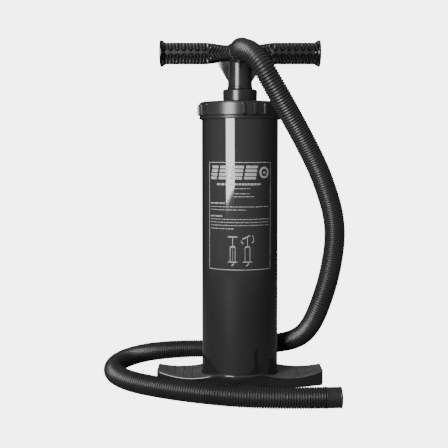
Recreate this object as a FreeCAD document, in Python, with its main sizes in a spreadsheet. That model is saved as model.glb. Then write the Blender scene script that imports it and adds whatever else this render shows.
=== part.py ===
"""A double-action hand air pump: a barrel on a foot base, a T-handled plunger and a hose.

The plunger pumps air on its strokes in both directions.

Millimetres. +Z is up, the handle and the foot wings lie along X, and the hose leaves the hub towards -Y.
The origin is on the pump's axis, in the plane that the foot base stands on.
"""
import FreeCAD, Part
import math
import os
import re
import Sketcher

DIMENSIONS = {
    # Barrel: a tube with a floor, and thread rings outside its rim.
    "barrel_outer_radius": 53.2,
    "barrel_bore_radius": 50.0,
    "barrel_bottom": 4.0,
    "barrel_floor_thickness": 4.0,
    "barrel_top": 385.0,
    "thread_radius": 54.4,
    "thread_ring_height": 2.0,
    "thread_pitch": 4.5,
    "thread_first": 372.0,
    "thread_count": 3,
    "thread_chamfer": 0.6,
    "boss_radius": 3.5,
    "boss_top": 11.5,
    # Foot base: a boat-shaped moulding whose wings dip between the barrel and their ends.
    "wing_half_length": 116.4,
    "wing_end_half_depth": 21.0,
    "wing_mid_half_depth": 44.5,
    "wing_root_height": 22.5,
    "wing_dip_radius": 129.0,
    "wing_dip_across": 75.0,
    "wing_dip_up": 143.1,
    "socket_radius": 56.2,
    "socket_wall": 1.5,
    "socket_lip": 0.8,
    "socket_clearance": 0.05,
    "socket_flare_height": 2.0,
    "socket_bore_over": 5.0,
    "hollow_depth": 8.0,
    "hollow_wall": 4.0,
    "hollow_first": 59.0,
    "hollow_length": 14.5,
    "hollow_pitch": 17.5,
    "hollow_count": 3,
    "foot_screw_circle": 36.0,
    "foot_screw_count": 4,
    "foot_screw_radius": 2.0,
    "foot_screw_length": 7.5,
    "foot_screw_head_radius": 3.8,
    "foot_screw_head_height": 2.0,
    "foot_screw_seat": 2.4,
    "foot_screw_play": 0.1,
    "foot_screw_head_play": 0.3,
    "foot_screw_thread_gap": 0.05,
    "foot_screw_tip_gap": 0.2,
    # Screw cap, and what it clamps on the barrel's rim.
    "cap_radius": 57.2,
    "cap_flange_radius": 56.8,
    "cap_bottom": 370.5,
    "cap_flange_top": 374.5,
    "cap_flange_chamfer": 0.6,
    "cap_top": 394.0,
    "cap_ceiling": 390.0,
    "cap_inner_radius": 54.9,
    "cap_edge": 2.0,
    "cap_edge_share": 0.3,
    "cap_rib_height": 14.4,
    "cap_rib_radius": 59.8,
    "cap_rib_width": 3.6,
    "cap_rib_pitch": 15.4,
    "cap_rib_first": 4.7,
    "cap_rib_groups": 4,
    "cap_ribs_in_group": 3,
    "cap_rib_lift": 1.0,
    "cap_rib_overlap": 0.5,
    "cap_hole_radius": 18.3,
    "gasket_inner_radius": 50.1,
    "gasket_top": 386.5,
    "gasket_inset": 0.2,
    # Rod guide, its bush and the gland above the cap.
    "guide_bottom": 352.0,
    "guide_top": 405.0,
    "guide_radius": 17.5,
    "guide_flange_radius": 52.0,
    "guide_clear_radius": 14.6,
    "fin_count": 6,
    "fin_thickness": 2.4,
    "fin_overlap": 1.0,
    "fin_foot": 2.0,
    "fin_gap": 4.0,
    "fin_rim": 6.0,
    "bush_radius": 16.0,
    "bush_height": 15.0,
    "bush_bore_radius": 14.07,
    "collar_radius": 24.0,
    "collar_bottom": 394.2,
    "collar_top": 412.0,
    "collar_edge": 2.0,
    "collar_top_edge": 0.8,
    "collar_play": 0.05,
    "collar_groove_count": 3,
    "collar_groove_first": 5.0,
    "collar_groove_pitch": 3.6,
    "collar_groove_half_width": 0.7,
    "collar_groove_depth": 0.5,
    "collar_bore_radius": 14.5,
    "seal_height": 3.6,
    "seal_gap": 0.1,
    "seal_bore_radius": 14.4,
    "buffer_bottom": 347.0,
    "buffer_radius": 24.0,
    "floor_buffer_inner_radius": 19.0,
    "floor_buffer_outer_radius": 30.0,
    "floor_buffer_height": 3.0,
    # Rod: an outer tube that carries the load, and an inner tube for the pumped air.
    "rod_radius": 14.0,
    "rod_bore_radius": 12.2,
    "rod_bottom": 42.0,
    "rod_top": 444.0,
    "inner_tube_radius": 9.0,
    "inner_tube_bore_radius": 7.6,
    "inner_tube_bottom": 30.0,
    "inner_tube_top": 450.0,
    "fit_clearance": 0.02,
    # Piston, from its lower valve cage to its upper one.
    "piston_bottom": 13.0,
    "lower_plate_bottom": 19.0,
    "plate_thickness": 5.0,
    "upper_plate_bottom": 54.0,
    "piston_top": 65.0,
    "piston_radius": 49.2,
    "skirt_bore_radius": 45.0,
    "ring_inner_radius": 46.5,
    "ring_outer_radius": 49.7,
    "ring_height": 3.8,
    "ring_groove_height": 4.2,
    "ring_groove_radius": 46.3,
    "lower_groove": 28.0,
    "upper_groove": 45.8,
    "divider_bore_radius": 27.0,
    "divider_radius": 29.5,
    "manifold_bottom": 33.0,
    "manifold_top": 45.0,
    "manifold_boss_radius": 18.0,
    "manifold_boss_bottom": 27.7,
    "manifold_boss_top": 50.2,
    "air_ring_bottom": 36.0,
    "duct_radius": 2.5,
    "duct_count": 6,
    "passage_radius": 2.6,
    "passage_circle": 22.0,
    "intake_hole_radius": 3.4,
    "intake_hole_circle": 34.3,
    "delivery_hole_radius": 2.2,
    "delivery_hole_circle": 20.4,
    "delivery_hole_angle": 22.5,
    "valve_hole_count": 8,
    "valve_thickness": 1.4,
    "valve_gap": 0.1,
    "intake_valve_inner_radius": 30.0,
    "intake_valve_outer_radius": 38.5,
    "delivery_valve_inner_radius": 16.5,
    "delivery_valve_outer_radius": 24.5,
    "cage_inner_radius": 29.0,
    "cage_rim_inner_radius": 39.5,
    "cage_outer_radius": 45.5,
    "cage_thickness": 1.6,
    "cage_window_radius": 2.6,
    "cage_window_count": 12,
    "cage_window_angle": 15.0,
    "piston_screw_circle": 42.5,
    "piston_screw_angle": 45.0,
    "piston_screw_radius": 1.6,
    "piston_screw_hole_radius": 1.7,
    "piston_screw_head_radius": 2.8,
    "piston_screw_head_height": 2.6,
    "piston_screw_tip_gap": 1.0,
    "piston_screw_count": 4,
    # Handle: hub, neck, webs and two grips in one moulding.
    "grip_height": 462.0,
    "handle_half_span": 111.0,
    "grip_radius": 15.0,
    "grip_end_radius": 18.3,
    "grip_end_length": 8.0,
    "grip_end_edge": 1.0,
    "grip_waist_radius": 11.7,
    "grip_waist": 28.0,
    "grip_waist_end": 44.0,
    "neck_radius": 17.0,
    "neck_top_radius": 16.2,
    "neck_bottom": 412.4,
    "hub_top": 475.0,
    "hub_edge": 0.8,
    "port_boss_radius": 15.5,
    "port_boss_reach": 34.0,
    "web_reach": 30.0,
    "web_drop": 32.0,
    "web_curve": 32.0,
    "web_thickness": 7.0,
    "web_overlap": 2.0,
    "web_lip": 3.0,
    "web_inset": 0.6,
    "pocket_first": 49.0,
    "pocket_pitch": 9.3,
    "pocket_count": 7,
    "pocket_half_width": 3.3,
    "tongue_half_width": 1.7,
    "pocket_root": 1.6,
    "pocket_floor": 10.0,
    "pocket_over": 2.0,
    "intake_bore_radius": 9.5,
    "intake_bore_start": 24.0,
    "intake_passage_radius": 8.5,
    "outlet_bore_radius": 9.6,
    "bore_over": 1.0,
    "plenum_top": 472.5,
    "handle_screw_low": 424.0,
    "handle_screw_pitch": 13.0,
    "handle_screw_count": 2,
    "handle_screw_radius": 1.9,
    "handle_screw_hole_radius": 2.0,
    "handle_screw_head_radius": 3.4,
    "handle_screw_seat": 15.0,
    "handle_screw_head_play": 0.2,
    "handle_screw_inset": 0.3,
    "handle_screw_tip": 12.5,
    # Ports, their duct and the hose's two cuffs.
    "port_reach": 38.0,
    "port_edge_share": 0.97,
    "port_edge": 1.0,
    "duct_outer_radius": 9.4,
    "duct_bend_radius": 10.0,
    "duct_end": 24.0,
    "sleeve_radius": 11.0,
    "sleeve_half_height": 4.0,
    "sleeve_swell": 0.3,
    "sleeve_step": 0.4,
    "grille_inner": 21.5,
    "grille_thickness": 2.0,
    "grille_hole_radius": 1.5,
    "grille_hole_circle": 5.2,
    "grille_hole_count": 6,
    "cuff_radius": 14.0,
    "cuff_bore_radius": 10.5,
    "cuff_end": 66.0,
    "cuff_spigot_start": 25.0,
    "spigot_play": 0.05,
    "cuff_rim_length": 3.0,
    "hose_radius": 14.0,
    "hose_bore_radius": 12.3,
    "hose_gap": 0.3,
    "end_cuff_radius": 14.0,
    "end_cuff_bore_radius": 9.5,
    "end_cuff_length": 21.0,
    "end_cuff_foot_inset": 0.5,
    "end_cuff_foot_length": 1.5,
    "end_cuff_waist_inset": 0.9,
    "end_cuff_rim_length": 3.4,
    "end_cuff_rim_slope": 0.6,
}

# The middle of the hose from the cuff on the hub to the cuff at its free end.
# It bends down beside the barrel, swings behind it and lies on the ground in a loop round the foot base.
HOSE_ROUTE = [
    (0.0, -68.4, 462.0),
    (4.0, -98.0, 460.3),
    (19.5, -118.0, 441.0),
    (40.5, -116.0, 410.3),
    (62.2, -104.0, 375.3),
    (86.2, -90.0, 332.2),
    (108.1, -78.0, 288.7),
    (128.8, -66.0, 227.9),
    (122.6, -60.0, 164.7),
    (107.1, -46.0, 110.8),
    (93.9, -16.0, 77.9),
    (78.5, 26.0, 56.5),
    (56.0, 78.0, 37.0),
    (14.0, 120.0, 20.5),
    (-40.0, 138.5, 14.9),
    (-98.0, 136.0, 14.6),
    (-149.0, 112.0, 14.6),
    (-180.5, 60.0, 14.6),
    (-182.5, -2.0, 14.6),
    (-155.0, -50.0, 14.6),
    (-110.0, -83.0, 14.6),
    (-50.0, -111.0, 14.6),
    (10.0, -129.0, 14.6),
    (62.0, -133.0, 14.6),
    (106.0, -130.5, 14.6),
]

doc = FreeCAD.newDocument("hand_air_pump")
sheet = doc.addObject("Spreadsheet::Sheet", "dims")
for row, (alias, size) in enumerate(DIMENSIONS.items(), start=1):
    sheet.set(f"A{row}", alias.replace("_", " "))
    sheet.set(f"B{row}", str(size))
    sheet.setAlias(f"B{row}", alias)
doc.recompute()

SUBPARTS = []


# ---------------------------------------------------------------- helpers


def bound(text):
    """The text as an expression in which each dimension's name is read from the sheet."""
    return re.sub(r"[a-z][a-z_]*", lambda word: f"dims.{word[0]}" if word[0] in DIMENSIONS else word[0], text)


def value(text):
    """The number that a formula of dimension names has now."""
    return float(sheet.evalExpression(bound(text)))


def count(text):
    """A formula's value as a whole number of pieces."""
    return round(value(text))


def origin_feature(body, role):
    return next(feature for feature in body.Origin.OriginFeatures if feature.Role == role)


def subpart(item, label):
    """Names a finished sub-part, which also names its file."""
    item.Label = label
    SUBPARTS.append(item)
    return item


def new_body(label):
    return subpart(doc.addObject("PartDesign::Body", label), label)


def place(item, x="0", y="0", z="0"):
    for letter, text in zip("xyz", (x, y, z)):
        if text != "0":
            item.setExpression(f"Placement.Base.{letter}", bound(text))
    return item


def new_sketch(body, plane, offset=None):
    """A sketch on one of the body's own origin planes, or at a distance from it along the plane's normal."""
    sketch = body.newObject("Sketcher::SketchObject", "Outline")
    sketch.AttachmentSupport = [(origin_feature(body, plane), "")]
    sketch.MapMode = "FlatFace"
    if offset is not None:
        sketch.setExpression("AttachmentOffset.Base.z", bound(offset))
    return sketch


def hold_point(sketch, element, end, across, up):
    """Holds a sketch point at two distances from the sketch's origin, each bound to the sheet."""
    for kind, text, axis in (("DistanceX", across, -2), ("DistanceY", up, -1)):
        if text == "0":
            sketch.addConstraint(Sketcher.Constraint("PointOnObject", element, end, axis))
            continue
        index = sketch.addConstraint(Sketcher.Constraint(kind, -1, 1, element, end, value(text)))
        sketch.setExpression(f"Constraints[{index}]", bound(text))


def hold_size(sketch, kind, element, text):
    index = sketch.addConstraint(Sketcher.Constraint(kind, element, value(text)))
    sketch.setExpression(f"Constraints[{index}]", bound(text))


def add_polygon(sketch, corners):
    """A closed outline of straight lines, with every corner held."""
    points = [FreeCAD.Vector(value(across), value(up), 0) for across, up in corners]
    first = sketch.GeometryCount
    corner_count = len(points)
    for index in range(corner_count):
        sketch.addGeometry(Part.LineSegment(points[index], points[(index + 1) % corner_count]))
    for index in range(corner_count):
        following = first + (index + 1) % corner_count
        sketch.addConstraint(Sketcher.Constraint("Coincident", first + index, 2, following, 1))
        hold_point(sketch, first + index, 1, *corners[index])


def add_circle(sketch, across, up, radius):
    centre = FreeCAD.Vector(value(across), value(up), 0)
    index = sketch.addGeometry(Part.Circle(centre, FreeCAD.Vector(0, 0, 1), value(radius)))
    hold_point(sketch, index, 3, across, up)
    hold_size(sketch, "Radius", index, radius)


TURNING = {
    "Z": ("XZ_Plane", "V_Axis", False),
    "Y": ("YZ_Plane", "H_Axis", True),
    "X": ("XZ_Plane", "H_Axis", True),
}


def turn(body, outline, axis="Z", cut=False):
    """Adds or cuts a round shape about one of the body's axes.

    The outline's corners are (radius, place along the axis).
    """
    plane, reference, swap = TURNING[axis]
    sketch = new_sketch(body, plane)
    add_polygon(sketch, [(along, radius) if swap else (radius, along) for radius, along in outline])
    feature = body.newObject("PartDesign::Groove" if cut else "PartDesign::Revolution", "Turned")
    feature.Profile = sketch
    feature.ReferenceAxis = (sketch, [reference])
    feature.Angle = 360
    doc.recompute()
    return feature


def turned(label, outline, axis="Z"):
    body = new_body(label)
    turn(body, outline, axis)
    return body


def ring(inner, outer, low, high):
    """The outline of a plain ring."""
    return [(inner, low), (outer, low), (outer, high), (inner, high)]


def pad(body, sketch, height, symmetric=False):
    feature = body.newObject("PartDesign::Pad", "Pad")
    feature.Profile = sketch
    feature.setExpression("Length", bound(height))
    if symmetric:
        feature.Midplane = True
    doc.recompute()
    return feature


def pocket(body, sketch, depth=None, back=False, symmetric=False):
    """Cuts a sketch's shape out of the body, through all of it unless a depth is given."""
    before = body.Shape.Volume
    feature = body.newObject("PartDesign::Pocket", "Pocket")
    feature.Profile = sketch
    if depth is None:
        feature.Type = "ThroughAll"
    else:
        feature.setExpression("Length", bound(depth))
    feature.Reversed = back
    feature.Midplane = symmetric
    doc.recompute()
    if not body.Shape.Volume < before - 1e-3:
        raise RuntimeError(f"{body.Label}: a pocket cuts nothing")
    return feature


def repeat_round(body, feature, amount, axis="Z"):
    """Repeats a feature evenly all round one of the body's axes."""
    pattern = body.newObject("PartDesign::PolarPattern", "Round")
    pattern.Originals = [feature]
    pattern.Axis = (origin_feature(body, f"{axis}_Axis"), [""])
    pattern.Angle = 360
    pattern.setExpression("Occurrences", bound(amount))
    body.Tip = pattern
    doc.recompute()
    return pattern


def mirror(body, features, plane):
    mirrored = body.newObject("PartDesign::Mirrored", "Mirrored")
    mirrored.Originals = features
    mirrored.MirrorPlane = (origin_feature(body, plane), [""])
    body.Tip = mirrored
    doc.recompute()
    return mirrored


def bore_round(body, radius, circle, amount, angle="0", plane="XY_Plane", axis="Z"):
    """Drills evenly spaced holes through the body, on a circle about its axis, from the given angle on."""
    first = math.radians(value(angle))
    turn_share = (math.cos(first), math.sin(first))
    across, up = (f"({circle}) * {share:.6f}" if abs(share) > 1e-6 else "0" for share in turn_share)
    sketch = new_sketch(body, plane)
    add_circle(sketch, across, up, radius)
    return repeat_round(body, pocket(body, sketch, symmetric=True), amount, axis)


def bore_sideways(body, radius, height, amount="1"):
    """Drills from the axis out through the wall towards +Y, and evenly round it where there are more."""
    sketch = new_sketch(body, "XZ_Plane")
    add_circle(sketch, "0", height, radius)
    hole = pocket(body, sketch)
    return hole if amount == "1" else repeat_round(body, hole, amount)


def cylinder(name, radius, height, x="0", y="0", z="0", axis="Z"):
    item = doc.addObject("Part::Cylinder", name)
    item.setExpression("Radius", bound(radius))
    item.setExpression("Height", bound(height))
    if axis == "Y":
        item.Placement.Rotation = FreeCAD.Rotation(FreeCAD.Vector(1, 0, 0), -90)
    return place(item, x, y, z)


def fused(label, shapes):
    item = doc.addObject("Part::MultiFuse", label)
    item.Shapes = shapes
    doc.recompute()
    return subpart(item, label)


# ---------------------------------------------------------------- barrel and foot base


def make_barrel():
    floor_top = "barrel_bottom + barrel_floor_thickness"
    thread = []
    for turn_number in range(count("thread_count")):
        low = f"thread_first + {turn_number} * thread_pitch"
        high = f"{low} + thread_ring_height"
        thread += [("barrel_outer_radius", low), ("thread_radius", f"{low} + thread_chamfer")]
        thread += [("thread_radius", f"{high} - thread_chamfer"), ("barrel_outer_radius", high)]
    outline = [("0", "barrel_bottom"), ("barrel_outer_radius", "barrel_bottom")] + thread
    outline += [("barrel_outer_radius", "barrel_top"), ("barrel_bore_radius", "barrel_top")]
    outline += [("barrel_bore_radius", floor_top), ("0", floor_top)]
    body = turned("barrel", outline)
    sketch = new_sketch(body, "XY_Plane", floor_top)
    add_circle(sketch, "foot_screw_circle", "0", "boss_radius")
    boss = pad(body, sketch, f"boss_top - ({floor_top})")
    repeat_round(body, boss, "foot_screw_count")
    sketch = new_sketch(body, "XY_Plane", "barrel_bottom")
    add_circle(sketch, "foot_screw_circle", "0", "foot_screw_radius")
    screw_hole = pocket(body, sketch, "foot_screw_seat + foot_screw_length - barrel_bottom", back=True)
    repeat_round(body, screw_hole, "foot_screw_count")


def make_foot_base():
    """A boat-shaped plan, cut down to a curved dip on each wing, with a round socket for the barrel."""
    body = new_body("foot_base")
    sketch = new_sketch(body, "XY_Plane")
    step = "(wing_mid_half_depth - wing_end_half_depth)"
    bow = f"((wing_half_length ^ 2 + {step} ^ 2) / (2 * {step}))"
    centre = value(f"{bow} - wing_mid_half_depth")
    half_angle = math.asin(value("wing_half_length") / value(bow))
    for side in (1, -1):
        circle = Part.Circle(FreeCAD.Vector(0, side * centre, 0), FreeCAD.Vector(0, 0, 1), value(bow))
        middle = -side * math.pi / 2
        sketch.addGeometry(Part.ArcOfCircle(circle, middle - half_angle, middle + half_angle))
    long, deep = value("wing_half_length"), value("wing_end_half_depth")
    sketch.addGeometry(Part.LineSegment(FreeCAD.Vector(long, -deep, 0), FreeCAD.Vector(long, deep, 0)))
    sketch.addGeometry(Part.LineSegment(FreeCAD.Vector(-long, deep, 0), FreeCAD.Vector(-long, -deep, 0)))
    for one, one_end, other, other_end in ((0, 2, 2, 1), (2, 2, 1, 1), (1, 2, 3, 1), (3, 2, 0, 1)):
        sketch.addConstraint(Sketcher.Constraint("Coincident", one, one_end, other, other_end))
    hold_point(sketch, 2, 1, "wing_half_length", "-wing_end_half_depth")
    hold_point(sketch, 2, 2, "wing_half_length", "wing_end_half_depth")
    hold_point(sketch, 3, 1, "-wing_half_length", "wing_end_half_depth")
    hold_point(sketch, 3, 2, "-wing_half_length", "-wing_end_half_depth")
    hold_size(sketch, "Radius", 0, bow)
    hold_size(sketch, "Radius", 1, bow)
    pad(body, sketch, "wing_root_height")

    sketch = new_sketch(body, "XZ_Plane")
    add_circle(sketch, "wing_dip_across", "wing_dip_up", "wing_dip_radius")
    dip = pocket(body, sketch, symmetric=True)
    mirror(body, [dip], "YZ_Plane")

    turn(
        body,
        [
            ("0", "barrel_bottom"),
            ("socket_radius + socket_wall", "barrel_bottom"),
            ("socket_radius + socket_wall", "wing_root_height - socket_flare_height"),
            ("socket_radius", "wing_root_height"),
            ("barrel_outer_radius + socket_lip", "wing_root_height + socket_flare_height"),
            ("0", "wing_root_height + socket_flare_height"),
        ],
    )
    turn(body, ring("0", "socket_radius + socket_wall", "0", "barrel_bottom"))
    bore = "barrel_outer_radius + socket_clearance"
    bore_top = "wing_root_height + socket_flare_height + socket_bore_over"
    turn(body, ring("0", bore, "barrel_bottom", bore_top), cut=True)

    hollows = []
    for number in range(count("hollow_count")):
        near = f"hollow_first + {number} * hollow_pitch"
        far = f"{near} + hollow_length"
        share_near, share_far = (value(edge) ** 2 / value("wing_half_length") ** 2 for edge in (near, far))
        near_half, far_half = (
            f"(wing_mid_half_depth - {step} * {share:.4f} - hollow_wall)" for share in (share_near, share_far)
        )
        sketch = new_sketch(body, "XY_Plane")
        corners = [(near, f"-{near_half}"), (far, f"-{far_half}"), (far, far_half), (near, near_half)]
        add_polygon(sketch, corners)
        hollows.append(pocket(body, sketch, "hollow_depth", back=True))
    mirror(body, hollows, "YZ_Plane")

    sketch = new_sketch(body, "XY_Plane")
    add_circle(sketch, "foot_screw_circle", "0", "foot_screw_radius + foot_screw_play")
    hole = pocket(body, sketch, "barrel_bottom + foot_screw_seat", back=True)
    repeat_round(body, hole, "foot_screw_count")
    sketch = new_sketch(body, "XY_Plane")
    add_circle(sketch, "foot_screw_circle", "0", "foot_screw_head_radius + foot_screw_head_play")
    seat = pocket(body, sketch, "foot_screw_seat", back=True)
    repeat_round(body, seat, "foot_screw_count")


def make_screws(label, amount, circle, angle, head, shank):
    """Identical upright screws on a circle, as one node of separate solids.

    head and shank are (radius, low, high).
    """
    solids = []
    full_turn = 360
    for number in range(count(amount)):
        turn_angle = math.radians(value(angle) + full_turn / count(amount) * number)
        x = f"({circle}) * {math.cos(turn_angle):.6f}"
        y = f"({circle}) * {math.sin(turn_angle):.6f}"
        ends = []
        for radius, low, high in (head, shank):
            ends.append(cylinder(f"{label}_{number}", radius, f"{high} - ({low})", x, y, low))
        screw = doc.addObject("Part::MultiFuse", f"{label}_{number}")
        screw.Shapes = ends
        solids.append(screw)
    group = doc.addObject("Part::Compound", label)
    group.Links = solids
    doc.recompute()
    return subpart(group, label)


def make_foot_screws():
    head_low = "foot_screw_seat - foot_screw_head_height"
    head = ("foot_screw_head_radius", head_low, "foot_screw_seat")
    tip = "foot_screw_seat + foot_screw_length - foot_screw_tip_gap"
    shank = ("foot_screw_radius - foot_screw_thread_gap", "foot_screw_seat", tip)
    make_screws("foot_screws", "foot_screw_count", "foot_screw_circle", "0", head, shank)


def make_floor_buffer():
    low = "barrel_bottom + barrel_floor_thickness"
    high = f"{low} + floor_buffer_height"
    turned("floor_buffer", ring("floor_buffer_inner_radius", "floor_buffer_outer_radius", low, high))


# ---------------------------------------------------------------- cap, rod guide and gland


def make_screw_cap():
    shell = doc.addObject("PartDesign::Body", "cap_shell")
    turn(
        shell,
        [
            ("cap_hole_radius", "cap_top"),
            ("cap_hole_radius", "cap_ceiling"),
            ("cap_inner_radius", "cap_ceiling"),
            ("cap_inner_radius", "cap_bottom"),
            ("cap_flange_radius", "cap_bottom"),
            ("cap_flange_radius", "cap_flange_top"),
            ("cap_radius", "cap_flange_top + cap_flange_chamfer"),
            ("cap_radius", "cap_top - cap_edge"),
            ("cap_radius - cap_edge_share * cap_edge", "cap_top - cap_edge_share * cap_edge"),
            ("cap_radius - cap_edge", "cap_top"),
        ],
    )
    pieces = [shell]
    quarter_turn = 360 / count("cap_rib_groups")
    for group in range(count("cap_rib_groups")):
        for number in range(count("cap_ribs_in_group")):
            angle = group * quarter_turn + value(f"cap_rib_first + {number} * cap_rib_pitch")
            rib = doc.addObject("Part::Box", "cap_rib")
            rib.setExpression("Length", bound("cap_rib_radius - cap_inner_radius - cap_rib_overlap"))
            rib.setExpression("Width", bound("cap_rib_width"))
            rib.setExpression("Height", bound("cap_rib_height"))
            turning = FreeCAD.Rotation(FreeCAD.Vector(0, 0, 1), angle)
            inner = value("cap_inner_radius + cap_rib_overlap")
            corner = FreeCAD.Vector(inner, -value("cap_rib_width / 2"), 0)
            rib.Placement = FreeCAD.Placement(turning.multVec(corner), turning)
            place(rib, z="cap_flange_top + cap_rib_lift")
            pieces.append(rib)
    fused("screw_cap", pieces)


def make_cap_gasket():
    outer = "barrel_outer_radius - gasket_inset"
    turned("cap_gasket", ring("gasket_inner_radius", outer, "barrel_top", "gasket_top"))


def make_rod_guide():
    body = turned(
        "rod_guide",
        [
            ("bush_radius", "guide_bottom"),
            ("guide_radius", "guide_bottom"),
            ("guide_radius", "gasket_top"),
            ("guide_flange_radius", "gasket_top"),
            ("guide_flange_radius", "cap_ceiling"),
            ("guide_radius", "cap_ceiling"),
            ("guide_radius", "guide_top"),
            ("guide_clear_radius", "guide_top"),
            ("guide_clear_radius", "guide_bottom + bush_height"),
            ("bush_radius", "guide_bottom + bush_height"),
        ],
    )
    sketch = new_sketch(body, "XZ_Plane")
    fin = [
        ("guide_radius - fin_overlap", "guide_bottom + bush_height"),
        ("guide_radius + fin_foot", "guide_bottom + bush_height"),
        ("barrel_bore_radius - fin_gap", "gasket_top - fin_rim"),
        ("barrel_bore_radius - fin_gap", "gasket_top + fin_overlap"),
        ("guide_radius - fin_overlap", "gasket_top + fin_overlap"),
    ]
    add_polygon(sketch, fin)
    repeat_round(body, pad(body, sketch, "fin_thickness", symmetric=True), "fin_count")


def make_rod_bush():
    low, high = "guide_bottom", "guide_bottom + bush_height"
    turned("rod_bush", ring("bush_bore_radius", "bush_radius - fit_clearance", low, high))


def make_stop_buffer():
    turned("stop_buffer", ring("guide_clear_radius", "buffer_radius", "buffer_bottom", "guide_bottom"))


def make_gland_collar():
    """A ring on the cap, seated on the guide's spigot and closed in over the rod's seal."""
    grooves = []
    for number in range(count("collar_groove_count")):
        middle = f"collar_bottom + collar_groove_first + {number} * collar_groove_pitch"
        grooves.append(("collar_radius", f"{middle} - collar_groove_half_width"))
        grooves.append(("collar_radius - collar_groove_depth", middle))
        grooves.append(("collar_radius", f"{middle} + collar_groove_half_width"))
    outline = [
        ("guide_radius + collar_play", "collar_bottom"),
        ("collar_radius - collar_edge", "collar_bottom"),
        ("collar_radius", "collar_bottom + collar_edge"),
    ]
    outline += grooves
    outline += [
        ("collar_radius", "collar_top - collar_top_edge"),
        ("collar_radius - collar_top_edge", "collar_top"),
        ("collar_bore_radius", "collar_top"),
        ("collar_bore_radius", "guide_top + seal_height"),
        ("guide_radius + collar_play", "guide_top + seal_height"),
    ]
    turned("gland_collar", outline)


def make_rod_seal():
    low, high = "guide_top + seal_gap", "guide_top + seal_height - seal_gap"
    turned("rod_seal", ring("seal_bore_radius", "guide_radius", low, high))


# ---------------------------------------------------------------- rod and piston


def make_outer_rod():
    body = turned("outer_rod", ring("rod_bore_radius", "rod_radius", "rod_bottom", "rod_top"))
    for number in range(count("handle_screw_count")):
        bore_sideways(body, "handle_screw_hole_radius", f"handle_screw_low + {number} * handle_screw_pitch")


def make_inner_tube():
    outline = ring("inner_tube_bore_radius", "inner_tube_radius", "inner_tube_bottom", "inner_tube_top")
    turned("inner_tube", outline)


def drill_plate(body):
    """The holes that both piston plates share: intake, delivery and the piston's screws."""
    bore_round(body, "intake_hole_radius", "intake_hole_circle", "valve_hole_count")
    angle = "delivery_hole_angle"
    bore_round(body, "delivery_hole_radius", "delivery_hole_circle", "valve_hole_count", angle)
    drill_screw_holes(body)


def drill_screw_holes(body):
    angle = "piston_screw_angle"
    bore_round(body, "piston_screw_hole_radius", "piston_screw_circle", "piston_screw_count", angle)


def make_piston_plates():
    low = "upper_plate_bottom"
    upper = turned(
        "upper_piston_plate",
        ring("rod_radius + fit_clearance", "piston_radius", low, f"{low} + plate_thickness"),
    )
    drill_plate(upper)
    low = "lower_plate_bottom"
    lower = turned("lower_piston_plate", ring("0", "piston_radius", low, f"{low} + plate_thickness"))
    drill_plate(lower)


def make_piston_manifold():
    """The wall between the intake and delivery spaces, with a cross plate that holds both tubes."""
    body = turned(
        "piston_manifold",
        [
            ("inner_tube_radius + fit_clearance", "manifold_boss_bottom"),
            ("manifold_boss_radius", "manifold_boss_bottom"),
            ("manifold_boss_radius", "manifold_bottom"),
            ("divider_bore_radius", "manifold_bottom"),
            ("divider_bore_radius", "lower_plate_bottom + plate_thickness"),
            ("divider_radius", "lower_plate_bottom + plate_thickness"),
            ("divider_radius", "upper_plate_bottom"),
            ("divider_bore_radius", "upper_plate_bottom"),
            ("divider_bore_radius", "manifold_top"),
            ("manifold_boss_radius", "manifold_top"),
            ("manifold_boss_radius", "manifold_boss_top"),
            ("rod_radius + fit_clearance", "manifold_boss_top"),
            ("rod_radius + fit_clearance", "rod_bottom"),
            ("rod_bore_radius", "rod_bottom"),
            ("rod_bore_radius", "air_ring_bottom"),
            ("inner_tube_radius + fit_clearance", "air_ring_bottom"),
        ],
    )
    bore_sideways(body, "duct_radius", "(air_ring_bottom + rod_bottom) / 2", "duct_count")
    bore_round(body, "passage_radius", "passage_circle", "duct_count")


def make_piston_skirt():
    outline = [("skirt_bore_radius", "lower_plate_bottom + plate_thickness")]
    outline += [("piston_radius", "lower_plate_bottom + plate_thickness")]
    for groove in ("lower_groove", "upper_groove"):
        outline += [("piston_radius", groove), ("ring_groove_radius", groove)]
        top = f"{groove} + ring_groove_height"
        outline += [("ring_groove_radius", top), ("piston_radius", top)]
    outline += [("piston_radius", "upper_plate_bottom"), ("skirt_bore_radius", "upper_plate_bottom")]
    turned("piston_skirt", outline)


def make_piston_rings():
    for label, groove in (("lower_piston_ring", "lower_groove"), ("upper_piston_ring", "upper_groove")):
        low = f"{groove} + (ring_groove_height - ring_height) / 2"
        turned(label, ring("ring_inner_radius", "ring_outer_radius", low, f"{low} + ring_height"))


def make_valve_cages():
    """A rim and a drilled shelf on each end of the piston, which keep the intake valves near their seats."""
    plate_top = "upper_plate_bottom + plate_thickness"
    stacks = (
        ("upper_valve_cage", plate_top, "piston_top - cage_thickness", "piston_top"),
        ("lower_valve_cage", "lower_plate_bottom", "piston_bottom + cage_thickness", "piston_bottom"),
    )
    for label, seat, shelf, end in stacks:
        outline = [
            ("cage_rim_inner_radius", seat),
            ("cage_outer_radius", seat),
            ("cage_outer_radius", end),
            ("cage_inner_radius", end),
            ("cage_inner_radius", shelf),
            ("cage_rim_inner_radius", shelf),
        ]
        body = turned(label, outline)
        bore_round(body, "cage_window_radius", "intake_hole_circle", "cage_window_count", "cage_window_angle")
        drill_screw_holes(body)


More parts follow.
